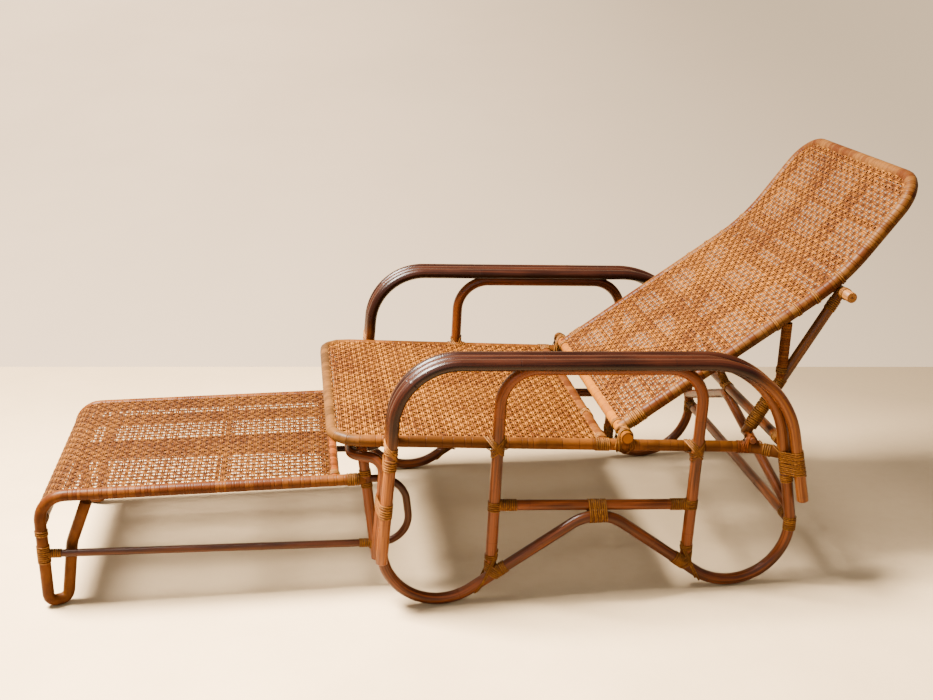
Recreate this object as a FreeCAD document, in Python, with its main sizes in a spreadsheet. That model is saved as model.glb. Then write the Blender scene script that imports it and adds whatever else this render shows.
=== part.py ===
import FreeCAD, Part
import math
import os
import Sketcher

# Reclining rattan long chair with a pull-out footrest.
# Length lies along X with the footrest at the low end, the sitter's left side is at
# negative Y, Z is up and the floor is Z = 0. The origin is on the floor below the middle
# of the chair's length and width.

doc = FreeCAD.newDocument("LongChair")
V = FreeCAD.Vector
UP = V(0, 0, 1)
ACROSS = V(0, 1, 0)
SIDES = (("left", -1), ("right", 1))

# Driving sizes, in millimetres and degrees

SIZES = (
    # Cane diameters
    ("pole", 24),
    ("cross_pole", 22),
    ("wrapped_pole", 27),
    ("hinge_pole", 25),
    ("slim_cane", 16),
    ("batten_cane", 10),
    ("peg", 13),
    ("lashing", 2.5),
    ("strap", 4),
    ("strap_bite", 1),
    ("side_gap", 1.7),
    ("running_gap", 0.3),
    # Side frames
    ("side_half", 350),
    ("foot_gauge", 340.6),
    ("post_foot_x", -217),
    ("post_foot_z", 114),
    ("post_lean", 5.75),
    ("arm_front_z", 531),
    ("arm_slope", 2.5),
    ("arm_front_bend", 130),
    ("arm_rear_bend", 200),
    ("arm_tail_x", 659),
    ("arm_tail_z", 197),
    ("arm_tail_lean", 11.3),
    ("inner_tail_z", 232),
    ("front_foot_bend", 118),
    ("rear_foot_x", 520),
    ("rear_foot_bend", 125),
    ("rear_lean", 9.5),
    ("wave_front_slope", 32.5),
    ("wave_rear_slope", 37),
    ("arch_bend", 95),
    ("joint_front_z", 328),
    ("joint_rear_z", 272),
    ("hoop_front_x", 9),
    ("hoop_rear_x", 425),
    ("hoop_lean", 3),
    ("hoop_bend", 75),
    ("stretcher_slope", 3.3),
    # Seat
    ("seat_front_x", -304),
    ("seat_front_z", 360),
    ("seat_slope", 4.1),
    ("seat_corner_bend", 55),
    ("rear_rail_x", 245),
    ("rail_turn_x", 560),
    ("rail_turn_bend", 60),
    ("weave", 4),
    ("weave_sink", 1.5),
    ("panel_margin", 12),
    ("seat_batten_width", 18),
    ("seat_batten", 5),
    ("seat_batten_pitch", 135),
    ("bow_x", -268),
    ("bow_lead", 6.5),
    ("bow_inset", 24),
    ("bow_bend", 28),
    ("bow_foot_z", 106),
    ("guide_half", 150),
    ("guide_overhang", 22),
    # Rear cross members
    ("low_stretcher_z", 143),
    ("arch_foot_z", 168),
    ("arch_peak_bend", 60),
    # Back
    ("hinge_x", 289),
    ("hinge_overhang", 29),
    ("strap_margin", 3.8),
    ("back_slope", 33.7),
    ("back_lower", 541),
    ("head_slope", 52.2),
    ("back_upper", 248),
    ("back_bend", 450),
    ("head_corner_bend", 72),
    ("back_batten_half", 95),
    ("first_batten", 95),
    ("batten_pitch", 92.5),
    # Prop
    ("prop_foot_x", 559),
    ("dowel_reach", 530),
    ("dowel_overhang", 52),
    ("strut_reach", 412),
    ("strut_foot", 132),
    ("peg_half_length", 21),
    # Footrest
    ("footrest_inset", 58),
    ("footrest_z", 247),
    ("footrest_front_x", -892.5),
    ("shoulder_bend", 54),
    ("toe_bend", 16),
    ("toe_length", 36),
    ("toe_inset", 16),
    ("return_knee_z", 132),
    ("return_knee_x", -839.5),
    ("return_knee_inset", 24.5),
    ("return_top_x", -801.5),
    ("return_knee_bend", 60),
    ("nose_z", 188),
    ("rod_front_z", 121),
    ("rod_rear_z", 101),
    ("upright_x", -238),
    ("upright_lean", 5.5),
    ("upright_foot_z", 66),
    ("footrest_rear_x", -302),
    ("footrest_batten_x", -533),
    ("bow_depth", 78),
    ("rear_bow_bend", 58),
    # Lashings
    ("post_wrap_z", 340),
    ("post_wrap", 46),
    ("low_wrap_z", 228),
    ("low_wrap", 28),
    ("rear_wrap_z", 262),
    ("rear_wrap", 44),
    ("knot_reach", 15),
    ("foot_wrap", 42),
    ("end_wrap", 38),
    ("arch_wrap", 42),
    ("joint_wrap", 30),
    ("rack_wrap", 10),
    ("notch_one", 541),
    ("notch_two", 478),
    ("notch_three", 433),
    ("notch_four", 381),
    ("rack_height", 1.8),
    ("hinge_wrap_start", 24),
    ("hinge_wrap", 34),
    ("prop_foot_wrap", 68),
    ("dowel_wrap", 14),
    ("web", 6),
)

WINDOW_ROWS = 12
WINDOW_COLUMNS = 12
WINDOW_SHARE = 0.5
BACK_SEAM_ROWS = (8, 10)

sheet = doc.addObject("Spreadsheet::Sheet", "Sizes")
for row, (alias, value) in enumerate(SIZES, start=1):
    sheet.set("A%d" % row, alias)
    sheet.set("B%d" % row, str(value))
    sheet.setAlias("B%d" % row, alias)
doc.recompute()


class Named:
    """Reads a size from the sheet by its alias."""

    def __getattr__(self, alias):
        return float(getattr(sheet, alias))


size = Named()


def tan(angle):
    return math.tan(math.radians(angle))


def cos(angle):
    return math.cos(math.radians(angle))


def sin(angle):
    return math.sin(math.radians(angle))


# Lines of the side view, each as x or z of a place along it

def post_x(z):
    """Front post's axis, which leans back."""
    return size.post_foot_x + (z - size.post_foot_z) * tan(size.post_lean)


def arm_z(x):
    """Axis of the arm canes, which drop to the rear."""
    corner = post_x(size.arm_front_z)
    return size.arm_front_z - (x - corner) * tan(size.arm_slope)


def rail_z(x):
    """Axis of the seat rails, which drop to the rear."""
    return size.seat_front_z - (x - size.seat_front_x) * tan(size.seat_slope)


def loop_rear_x(z):
    """Rear line of the middle arm cane and the runner, tangent to the rear foot loop."""
    radius = size.rear_foot_bend
    touch_x = size.rear_foot_x + radius * cos(size.rear_lean)
    touch_z = ground_z + radius + radius * sin(size.rear_lean)
    return touch_x - (z - touch_z) * tan(size.rear_lean)


def crossing(start, direction, other, other_direction):
    """Point of the side view where two lines meet."""
    cross = direction[0] * other_direction[1] - direction[1] * other_direction[0]
    gap = (other[0] - start[0], other[1] - start[1])
    along = (gap[0] * other_direction[1] - gap[1] * other_direction[0]) / cross
    return start[0] + along * direction[0], start[1] + along * direction[1]


ground_z = size.pole / 2
arm_direction = (cos(size.arm_slope), -sin(size.arm_slope))
post_direction = (sin(size.post_lean), cos(size.post_lean))
loop_direction = (-sin(size.rear_lean), cos(size.rear_lean))
tail_direction = (-sin(size.arm_tail_lean), cos(size.arm_tail_lean))
arm_front = (post_x(size.arm_front_z), size.arm_front_z)

# Runner: a foot loop at each end and an arch between them

front_radius = size.front_foot_bend
front_centre_z = ground_z + front_radius
front_centre_x = post_x(front_centre_z) + front_radius / cos(size.post_lean)
rise_start = (
    front_centre_x + front_radius * sin(size.wave_front_slope),
    front_centre_z - front_radius * cos(size.wave_front_slope),
)
rise_direction = (cos(size.wave_front_slope), sin(size.wave_front_slope))
fall_start = (
    size.rear_foot_x - size.rear_foot_bend * sin(size.wave_rear_slope),
    ground_z + size.rear_foot_bend - size.rear_foot_bend * cos(size.wave_rear_slope),
)
fall_direction = (-cos(size.wave_rear_slope), sin(size.wave_rear_slope))
post_base = (post_x(0), 0)
loop_base = (loop_rear_x(0), 0)
front_foot = crossing(post_base, post_direction, rise_start, rise_direction)
arch_corner = crossing(rise_start, rise_direction, fall_start, fall_direction)
rear_foot = crossing(loop_base, loop_direction, fall_start, fall_direction)
arch_turn = (size.wave_front_slope + size.wave_rear_slope) / 2
arch_top_z = arch_corner[1] - size.arch_bend * (1 / cos(arch_turn) - 1)
arch_top_x = arch_corner[0]


def runner_z(x):
    """Axis of the runner's straight rise and fall."""
    if x < arch_corner[0]:
        return rise_start[1] + (x - rise_start[0]) * tan(size.wave_front_slope)
    return fall_start[1] + (fall_start[0] - x) * tan(size.wave_rear_slope)


# Document helpers

def bind(item, **properties):
    """Binds properties of a document object to expressions on the sheet."""
    for name, expression in properties.items():
        item.setExpression(name, expression)


def half(alias):
    return "Sizes.%s / 2" % alias


def pole(label, start, end, diameter):
    """Straight round cane between two points."""
    item = doc.addObject("Part::Cylinder", label)
    item.Label = label
    bind(item, Radius=half(diameter))
    item.Height = (end - start).Length
    item.Placement = FreeCAD.Placement(start, FreeCAD.Rotation(UP, end - start))
    return item


def route(corners):
    """Wire of straight runs joined by tangent arcs: corners are (point, bend radius)."""
    edges = []
    last = corners[0][0]
    for before, (point, radius), after in zip(corners, corners[1:], corners[2:]):
        back = (before[0] - point).normalize()
        ahead = (after[0] - point).normalize()
        half_turn = back.getAngle(ahead) / 2
        reach = radius / math.tan(half_turn)
        start = point + back * reach
        end = point + ahead * reach
        middle = point + (back + ahead).normalize() * (radius / math.sin(half_turn) - radius)
        edges.append(Part.makeLine(last, start))
        edges.append(Part.Arc(start, middle, end).toShape())
        last = end
    edges.append(Part.makeLine(last, corners[-1][0]))
    return Part.Wire(edges)


def bent_cane(label, corners, diameter):
    """Round cane swept along a bent route."""
    spine = doc.addObject("Part::Feature", label + "_route")
    spine.Shape = route(corners)
    ring = doc.addObject("Part::Circle", label + "_ring")
    bind(ring, Radius=half(diameter))
    heading = corners[1][0] - corners[0][0]
    ring.Placement = FreeCAD.Placement(corners[0][0], FreeCAD.Rotation(UP, heading))
    item = doc.addObject("Part::Sweep", label)
    item.Label = label
    item.Sections = [ring]
    item.Spine = (spine, ["Edge%d" % (n + 1) for n in range(len(spine.Shape.Edges))])
    item.Solid = True
    return item


def joined(label, items):
    """Several pieces as one node."""
    item = doc.addObject("Part::MultiFuse", label)
    item.Label = label
    item.Shapes = items
    return item


def group(label, items):
    """Separate solids that share one node."""
    item = doc.addObject("Part::Compound", label)
    item.Label = label
    item.Links = items
    return item


def coped(label, item, tools):
    """A piece cut to the shape of those that it meets."""
    for number, tool in enumerate(tools, start=1):
        cut = doc.addObject("Part::Cut", "%s_cope_%d" % (label, number))
        cut.Base = item
        cut.Tool = tool
        item = cut
    item.Label = label
    return item


def sleeve(label, start, end, diameter, extra="Sizes.lashing"):
    """Solid round core of a lashing; the canes that it holds are cut out of it."""
    item = pole(label, start, end, diameter)
    bind(item, Radius="Sizes.%s / 2 + %s" % (diameter, extra))
    return item


nodes = {}


def node(item):
    nodes[item.Label] = item
    return item


def point(x, side, y, z):
    return V(x, side * y, z)


# Side frames: three arm canes, the runner, the inner hoop and the side stretcher

outer_half = size.side_half + size.pole
inner_half = size.side_half - size.pole
hoop_half = size.side_half - size.pole / 2
hoop_drop = math.sqrt(size.pole ** 2 - (size.pole / 2) ** 2)
rail_half = hoop_half - size.pole
strap_inner = rail_half - size.pole / 2 - size.strap_margin
back_half = strap_inner - size.side_gap - size.wrapped_pole / 2
footrest_half = rail_half - size.footrest_inset

arm_tail = (size.arm_tail_x, size.arm_tail_z)
arm_rear = crossing(arm_front, arm_direction, arm_tail, tail_direction)
loop_top = crossing(arm_front, arm_direction, loop_base, loop_direction)


def tail_x(z):
    """Rear line of the outer and inner arm canes."""
    return size.arm_tail_x - (z - size.arm_tail_z) * tan(size.arm_tail_lean)


def hoop_x(foot_x, z):
    """Legs of the inner hoop, which lean back."""
    return foot_x + (z - runner_z(foot_x)) * tan(size.hoop_lean)


def rail_crossing(foot_x):
    """Point where a leg of the hoop passes the seat rail."""
    return crossing((foot_x, runner_z(foot_x)), (sin(size.hoop_lean), cos(size.hoop_lean)),
                    (size.seat_front_x, size.seat_front_z),
                    (cos(size.seat_slope), -sin(size.seat_slope)))


def hoop_corner(foot_x):
    """Corner of the hoop below the arm."""
    foot = (foot_x, runner_z(foot_x))
    top = (arm_front[0], arm_front[1] - hoop_drop / cos(size.arm_slope))
    return crossing(foot, (sin(size.hoop_lean), cos(size.hoop_lean)), top, arm_direction)


cane_contact = (size.pole + size.cross_pole) / 2
stretcher_drop = math.sqrt(cane_contact ** 2 - (size.pole / 2) ** 2)
stretcher_z = arch_top_z + stretcher_drop


def stretcher_axis_z(x):
    """Axis of the side stretcher, which touches the top of the arch."""
    return stretcher_z - (x - arch_top_x) * tan(size.stretcher_slope)


def stretcher_end(foot_x):
    """Point where the side stretcher meets a hoop leg."""
    leg = (foot_x, runner_z(foot_x))
    middle = (arch_top_x, stretcher_z)
    level = (cos(size.stretcher_slope), -sin(size.stretcher_slope))
    return crossing(leg, (sin(size.hoop_lean), cos(size.hoop_lean)), middle, level)


front_corner = hoop_corner(size.hoop_front_x)
rear_corner = hoop_corner(size.hoop_rear_x)
frame = {}

for name, side in SIDES:
    outer = bent_cane("outer_arm_cane_" + name, (
        (point(size.post_foot_x, side, outer_half, size.post_foot_z), 0),
        (point(arm_front[0], side, outer_half, arm_front[1]), size.arm_front_bend),
        (point(arm_rear[0], side, outer_half, arm_rear[1]), size.arm_rear_bend),
        (point(size.arm_tail_x, side, outer_half, size.arm_tail_z), 0),
    ), "pole")
    middle = bent_cane("middle_arm_cane_" + name, (
        (point(post_x(size.joint_front_z), side, size.side_half, size.joint_front_z), 0),
        (point(arm_front[0], side, size.side_half, arm_front[1]), size.arm_front_bend),
        (point(loop_top[0], side, size.side_half, loop_top[1]), size.arm_rear_bend),
        (point(loop_rear_x(size.joint_rear_z), side, size.side_half, size.joint_rear_z), 0),
    ), "pole")
    runner = bent_cane("runner_cane_" + name, (
        (point(post_x(size.joint_front_z), side, size.side_half, size.joint_front_z), 0),
        (point(front_foot[0], side, size.side_half, front_foot[1]), size.front_foot_bend),
        (point(arch_corner[0], side, size.side_half, arch_corner[1]), size.arch_bend),
        (point(rear_foot[0], side, size.side_half, rear_foot[1]), size.rear_foot_bend),
        (point(loop_rear_x(size.joint_rear_z), side, size.side_half, size.joint_rear_z), 0),
    ), "pole")
    hoop_whole = bent_cane("hoop_whole_" + name, (
        (point(size.hoop_front_x, side, hoop_half, runner_z(size.hoop_front_x)), 0),
        (point(front_corner[0], side, hoop_half, front_corner[1]), size.hoop_bend),
        (point(rear_corner[0], side, hoop_half, rear_corner[1]), size.hoop_bend),
        (point(size.hoop_rear_x, side, hoop_half, runner_z(size.hoop_rear_x)), 0),
    ), "pole")
    hoop = coped("inner_hoop_" + name, hoop_whole, [runner])
    front_end = stretcher_end(size.hoop_front_x)
    rear_end = stretcher_end(size.hoop_rear_x)
    stretcher = coped("side_stretcher_" + name, pole(
        "stretcher_whole_" + name,
        point(front_end[0], side, hoop_half, front_end[1]),
        point(rear_end[0], side, hoop_half, rear_end[1]), "cross_pole"), [hoop])
    frame[name] = {"outer": outer, "middle": middle, "runner": runner, "hoop": hoop,
                   "stretcher": stretcher}
    for item in (outer, middle, runner, hoop, stretcher):
        node(item)

# Seat: bent side and front rail, wrapped rear rail, battens and woven panel

rail_end_x = loop_rear_x(rail_z(size.rail_turn_x))
seat_rail_whole = bent_cane("seat_rail_whole", (
    (V(rail_end_x, -size.side_half, rail_z(rail_end_x)), 0),
    (V(size.rail_turn_x, -rail_half, rail_z(size.rail_turn_x)), size.rail_turn_bend),
    (V(size.seat_front_x, -rail_half, size.seat_front_z), size.seat_corner_bend),
    (V(size.seat_front_x, rail_half, size.seat_front_z), size.seat_corner_bend),
    (V(size.rail_turn_x, rail_half, rail_z(size.rail_turn_x)), size.rail_turn_bend),
    (V(rail_end_x, size.side_half, rail_z(rail_end_x)), 0),
), "pole")
seat_rail = node(coped("seat_rail", seat_rail_whole, [
    frame["left"]["middle"], frame["left"]["runner"],
    frame["right"]["middle"], frame["right"]["runner"]]))

for name, side in SIDES:
    inner_whole = bent_cane("inner_arm_whole_" + name, (
        (point(post_x(size.seat_front_z), side, inner_half,
               rail_z(post_x(size.seat_front_z))), 0),
        (point(arm_front[0], side, inner_half, arm_front[1]), size.arm_front_bend),
        (point(arm_rear[0], side, inner_half, arm_rear[1]), size.arm_rear_bend),
        (point(tail_x(size.inner_tail_z), side, inner_half, size.inner_tail_z), 0),
    ), "pole")
    frame[name]["inner"] = node(coped("inner_arm_cane_" + name, inner_whole, [seat_rail]))

rear_rail_z = rail_z(size.rear_rail_x)
seat_rear_rail = node(coped("seat_rear_rail", pole(
    "rear_rail_whole", V(size.rear_rail_x, -rail_half, rear_rail_z),
    V(size.rear_rail_x, rail_half, rear_rail_z), "wrapped_pole"), [seat_rail]))


def seat_plank(label, front_x, rear_x, low, thick, wide_half):
    """Flat piece in the seat's slope: low is its underside above the rails' axis."""
    body = doc.addObject("PartDesign::Body", label)
    sketch = body.newObject("Sketcher::SketchObject", label + "_outline")
    plane = [f for f in body.Origin.OriginFeatures if f.Role == "XZ_Plane"][0]
    sketch.AttachmentSupport = [(plane, "")]
    sketch.MapMode = "FlatFace"
    corners = (
        V(front_x, rail_z(front_x) + low, 0), V(rear_x, rail_z(rear_x) + low, 0),
        V(rear_x, rail_z(rear_x) + low + thick, 0),
        V(front_x, rail_z(front_x) + low + thick, 0),
    )
    for n in range(len(corners)):
        sketch.addGeometry(Part.LineSegment(corners[n], corners[(n + 1) % len(corners)]))
    for n in range(len(corners)):
        sketch.addConstraint(Sketcher.Constraint("Coincident", n, 2, (n + 1) % len(corners), 1))
    pad = body.newObject("PartDesign::Pad", label + "_pad")
    pad.Profile = sketch
    pad.Midplane = True
    pad.Length = 2 * wide_half
    body.Label = label
    return body


def rounded_prism(label, corners, radius, height):
    """Upright prism over a rectangle whose first and last corners are rounded off."""
    first, second, third, fourth = corners
    outline = route(((second, 0), (first, radius), (fourth, radius), (third, 0))).Edges
    outline.append(Part.makeLine(third, second))
    profile = doc.addObject("Part::Feature", label + "_outline")
    profile.Shape = Part.Face(Part.Wire(Part.__sortEdges__(outline)))
    prism = doc.addObject("Part::Extrusion", label)
    prism.Base = profile
    prism.DirMode = "Custom"
    prism.Dir = height
    prism.LengthFwd = height.Length
    prism.Solid = True
    return prism


def trimmed(label, item, prism):
    """The part of a sheet that lies inside a prism."""
    common = doc.addObject("Part::MultiCommon", label)
    common.Shapes = [item, prism]
    return common


def knot_notch(label, middle_x, reach_x, middle_y, reach_y):
    """Upright block that keeps the seat panel clear of a knot."""
    block = doc.addObject("Part::Box", label)
    block.Length = 2 * (reach_x + size.running_gap)
    block.Width = 2 * (reach_y + size.running_gap)
    block.Height = 2 * size.seat_corner_bend
    block.Placement.Base = V(middle_x - reach_x - size.running_gap,
                             middle_y - reach_y - size.running_gap,
                             rail_z(middle_x) - size.seat_corner_bend)
    return block


def along_route(wire, distance):
    """Point of a wire at a length from its start, and the way there."""
    for edge in wire.Edges:
        if distance <= edge.Length:
            break
        distance -= edge.Length
    place = edge.getParameterByLength(distance)
    return edge.valueAt(place), edge.tangentAt(place)


def windows(label, corners, start, end, y_half):
    """Grid of blocks that open a panel between two lengths of its middle line."""
    line = route(corners)
    row_pitch = (end - start) / WINDOW_ROWS
    column_pitch = 2 * y_half / WINDOW_COLUMNS
    long = row_pitch * WINDOW_SHARE
    wide = column_pitch * WINDOW_SHARE
    deep = 4 * size.weave
    blocks = []
    for row in range(WINDOW_ROWS):
        middle, way = along_route(line, start + (row + 0.5) * row_pitch)
        turn = FreeCAD.Rotation(way, ACROSS, V(), "XYZ")
        for column in range(WINDOW_COLUMNS):
            y = (column + 0.5) * column_pitch - y_half
            block = doc.addObject("Part::Box", "%s_%d_%d" % (label, row, column))
            block.Length = long
            block.Width = wide
            block.Height = deep
            corner = turn.multVec(V(long / 2, wide / 2, deep / 2))
            block.Placement = FreeCAD.Placement(middle + ACROSS * y - corner, turn)
            blocks.append(block)
    return group(label, blocks)


def end_block(label, seam, way, long, y_half):
    """Block that takes away what lies past a seam across a panel."""
    turn = FreeCAD.Rotation(way, ACROSS, V(), "XYZ")
    block = doc.addObject("Part::Box", label)
    block.Length = long
    block.Width = 2 * y_half
    block.Height = 2 * long
    block.Placement = FreeCAD.Placement(seam - turn.multVec(V(0, y_half, long)), turn)
    return block


def sections(label, panel, corners, seams, y_half):
    """A panel as one solid for each stretch between the seams across it."""
    line = route(corners)
    pieces = []
    stretches = zip([None] + seams, seams + [None])
    for number, (low, high) in enumerate(stretches, start=1):
        blocks = []
        for seam, side in ((high, 1), (low, -1)):
            if seam is not None:
                middle, way = along_route(line, seam)
                blocks.append(end_block("%s_end_%d_%d" % (label, number, len(blocks)),
                                        middle, way * side, line.Length, y_half))
        pieces.append(coped("%s_section_%d" % (label, number), panel, blocks))
    return group(label, pieces)


panel_low = size.pole / 2 - size.weave_sink - size.weave
batten_low = panel_low - size.seat_batten
seat_prism = rounded_prism("seat_prism", (
    V(size.seat_front_x, -rail_half, size.seat_front_z - size.seat_corner_bend),
    V(size.rear_rail_x, -rail_half, size.seat_front_z - size.seat_corner_bend),
    V(size.rear_rail_x, rail_half, size.seat_front_z - size.seat_corner_bend),
    V(size.seat_front_x, rail_half, size.seat_front_z - size.seat_corner_bend)),
    size.seat_corner_bend, UP * (2 * size.seat_corner_bend))
knot_notches = []
rail_knot = size.pole / 2 + size.lashing
rear_knot = size.wrapped_pole / 2 + size.lashing
for name, side in SIDES:
    knot_notches.append(knot_notch("hoop_notch_" + name, rail_crossing(size.hoop_front_x)[0],
                                   size.knot_reach + size.lashing, side * rail_half,
                                   rail_knot))
    knot_notches.append(knot_notch("corner_notch_" + name, size.rear_rail_x,
                                   max(rear_knot, size.knot_reach + size.lashing),
                                   side * rail_half, size.joint_wrap))
    knot_notches.append(knot_notch("guide_notch_" + name, size.rear_rail_x, rear_knot,
                                   side * size.guide_half, size.dowel_wrap))
seat_weave = node(coped("seat_weave", trimmed("seat_weave_trimmed", seat_plank(
    "seat_weave_whole", size.seat_front_x, size.rear_rail_x, panel_low, size.weave,
    rail_half), seat_prism), knot_notches + [seat_rail, seat_rear_rail]))
seat_batten_items = []
for count in (1, 2, 3):
    middle_x = size.seat_front_x + count * size.seat_batten_pitch
    seat_batten_items.append(seat_plank(
        "seat_batten_%d" % count, middle_x - size.seat_batten_width / 2,
        middle_x + size.seat_batten_width / 2, batten_low, size.seat_batten, rail_half))
seat_battens = node(coped("seat_battens", group("seat_batten_set", seat_batten_items),
                          [seat_rail]))

# Front bow and the footrest's guides, hung from the underside of the seat's rear rail

guide_top_z = rear_rail_z - size.wrapped_pole / 2
guide_z = guide_top_z - size.slim_cane / 2
bow_z = guide_top_z + size.cross_pole / 2
bow_side = size.side_half - math.sqrt(cane_contact ** 2 - size.bow_lead ** 2)
bow_half = rail_half - size.bow_inset


def bow_post_x(z):
    """Legs of the front bow, which touch the inner side of the front posts."""
    return post_x(z) - size.bow_lead / cos(size.post_lean)


front_bow = node(bent_cane("front_bow", (
    (V(bow_post_x(size.bow_foot_z), -bow_side, size.bow_foot_z), 0),
    (V(bow_post_x(bow_z), -bow_side, bow_z), size.bow_bend),
    (V(size.bow_x, -bow_half, bow_z), size.bow_bend),
    (V(size.bow_x, bow_half, bow_z), size.bow_bend),
    (V(bow_post_x(bow_z), bow_side, bow_z), size.bow_bend),
    (V(bow_post_x(size.bow_foot_z), bow_side, size.bow_foot_z), 0),
), "cross_pole"))
for name, side in SIDES:
    node(pole("footrest_guide_" + name,
              point(size.bow_x - size.guide_overhang, side, size.guide_half, guide_z),
              point(size.rear_rail_x + size.guide_overhang, side, size.guide_half, guide_z),
              "slim_cane"))

# Rear cross members and the post that the lowered back rests on

high_z = rail_z(loop_rear_x(rail_z(rail_end_x))) + size.pole
high_x = loop_rear_x(high_z)
low_x = loop_rear_x(size.low_stretcher_z)
loops = [frame["left"]["middle"], frame["right"]["middle"],
         frame["left"]["runner"], frame["right"]["runner"]]
high_stretcher = node(coped("rear_high_stretcher", pole(
    "high_whole", V(high_x, -size.side_half, high_z), V(high_x, size.side_half, high_z),
    "cross_pole"), loops + [seat_rail, frame["left"]["inner"], frame["right"]["inner"]]))
low_stretcher = node(coped("rear_low_stretcher", pole(
    "low_whole", V(low_x, -size.side_half, size.low_stretcher_z),
    V(low_x, size.side_half, size.low_stretcher_z), "cross_pole"), [loops[2], loops[3]]))
peak_z = high_z - size.cross_pole
foot_x = loop_rear_x(size.arch_foot_z)
arch_angle = math.degrees(math.atan((peak_z - size.arch_foot_z) / size.side_half))
vertex_z = peak_z + size.arch_peak_bend * (1 / cos(arch_angle) - 1)
rear_arch = node(coped("rear_arch", bent_cane("rear_arch_whole", (
    (V(foot_x, -size.side_half, size.arch_foot_z), 0),
    (V(high_x, 0, vertex_z), size.arch_peak_bend),
    (V(foot_x, size.side_half, size.arch_foot_z), 0),
), "cross_pole"), [loops[2], loops[3], low_stretcher, high_stretcher]))

# Back: hinge pole on the seat rails, bent frame, battens and woven panel

hinge_z = rail_z(size.hinge_x) + (
    (size.pole + size.hinge_pole) / 2 + size.running_gap) / cos(size.seat_slope)
hinge = V(size.hinge_x, 0, hinge_z)
lower_way = V(cos(size.back_slope), 0, sin(size.back_slope))
upper_way = V(cos(size.head_slope), 0, sin(size.head_slope))
lower_up = V(-sin(size.back_slope), 0, cos(size.back_slope))
upper_up = V(-sin(size.head_slope), 0, cos(size.head_slope))
bend_up = (lower_up + upper_up).normalize()
neck = hinge + lower_way * size.back_lower
head = neck + upper_way * size.back_upper
head_turn = (size.head_slope - size.back_slope) / 2
neck_tangent = size.back_bend * tan(head_turn)


def back_side(y, offset):
    """Corners of the back's side view at a height above the frame's axis."""
    across = V(0, y, 0)
    return (
        hinge + lower_up * offset + across,
        neck + bend_up * (offset / cos(head_turn)) + across,
        head + upper_up * offset + across,
    )


left_low, left_neck, left_head = back_side(-back_half, 0)
right_low, right_neck, right_head = back_side(back_half, 0)
hinge_half = rail_half + size.hinge_overhang
hinge_pole = node(pole("hinge_pole", hinge - ACROSS * hinge_half,
                       hinge + ACROSS * hinge_half, "hinge_pole"))
back_frame = node(coped("back_frame", bent_cane("back_frame_whole", (
    (left_low, 0),
    (left_neck, size.back_bend),
    (left_head, size.head_corner_bend),
    (right_head, size.head_corner_bend),
    (right_neck, size.back_bend),
    (right_low, 0),
), "wrapped_pole"), [hinge_pole]))


def back_sheet(label, low, thick, y_half):
    """Sheet that follows the back's bend: low is its underside above the frame's axis."""
    edges = []
    rows = []
    for offset in (low, low + thick):
        start, corner, end = back_side(-y_half, offset)
        rows.append(route(((start, 0), (corner, size.back_bend - offset), (end, 0))))
    edges.extend(rows[0].Edges)
    edges.append(Part.makeLine(back_side(-y_half, low)[2], back_side(-y_half, low + thick)[2]))
    edges.extend(rows[1].Edges)
    edges.append(Part.makeLine(back_side(-y_half, low + thick)[0], back_side(-y_half, low)[0]))
    profile = doc.addObject("Part::Feature", label + "_profile")
    profile.Shape = Part.Face(Part.Wire(Part.__sortEdges__(edges)))
    sheet_item = doc.addObject("Part::Extrusion", label)
    sheet_item.Base = profile
    sheet_item.DirMode = "Custom"
    sheet_item.Dir = ACROSS
    sheet_item.LengthFwd = 2 * y_half
    sheet_item.Solid = True
    return sheet_item


back_panel_low = size.wrapped_pole / 2 - size.weave - size.lashing
prism_base = -upper_up * size.back_lower
back_prism = rounded_prism("back_prism", (
    left_head + prism_base, left_head - upper_way * (size.back_lower + size.back_upper) * 2
    + prism_base, right_head - upper_way * (size.back_lower + size.back_upper) * 2
    + prism_base, right_head + prism_base),
    size.head_corner_bend, upper_up * (size.back_lower * 2))
back_panel = trimmed("back_panel", back_sheet(
    "back_weave_whole", back_panel_low, size.weave, back_half), back_prism)
panel_start, panel_neck, panel_head = back_side(0, back_panel_low + size.weave / 2)
panel_bend = size.back_bend - back_panel_low - size.weave / 2
back_line = ((panel_start, 0), (panel_neck, panel_bend), (panel_head, 0))
window_start = size.hinge_pole / 2 + size.panel_margin
window_end = route(back_line).Length - size.wrapped_pole / 2 - size.panel_margin
row_pitch = (window_end - window_start) / WINDOW_ROWS
back_open = coped("back_open", back_panel, [back_frame, hinge_pole, windows(
    "back_window", back_line, window_start, window_end,
    back_half - size.wrapped_pole / 2 - size.panel_margin)])
node(sections("back_weave", back_open, back_line,
              [window_start + row * row_pitch for row in BACK_SEAM_ROWS], back_half))
long_offset = back_panel_low - size.batten_cane / 2
cross_offset = long_offset - size.batten_cane
long_items = []
for name, side in SIDES:
    low, corner, high = back_side(side * size.back_batten_half, long_offset)
    long_items.append(bent_cane("back_long_batten_" + name, (
        (low, 0), (corner, size.back_bend - long_offset), (high, 0)), "batten_cane"))
back_long = node(coped("back_long_battens", group("back_long_set", long_items),
                       [hinge_pole, back_frame]))
cross_items = []
for count in range(5):
    along = size.first_batten + count * size.batten_pitch
    middle = hinge + lower_way * along + lower_up * cross_offset
    cross_items.append(pole("back_cross_batten_%d" % (count + 1),
                            middle - ACROSS * back_half,
                            middle + ACROSS * back_half, "batten_cane"))
upper_middle = neck + upper_way * (size.back_upper / 2) + upper_up * cross_offset
cross_items.append(pole("back_cross_batten_6", upper_middle - ACROSS * back_half,
                        upper_middle + ACROSS * back_half, "batten_cane"))
back_cross_set = group("back_cross_set", cross_items)
node(coped("back_cross_battens", back_cross_set, [back_frame]))

# Rest post: from the high stretcher up to the third cross batten

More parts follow.
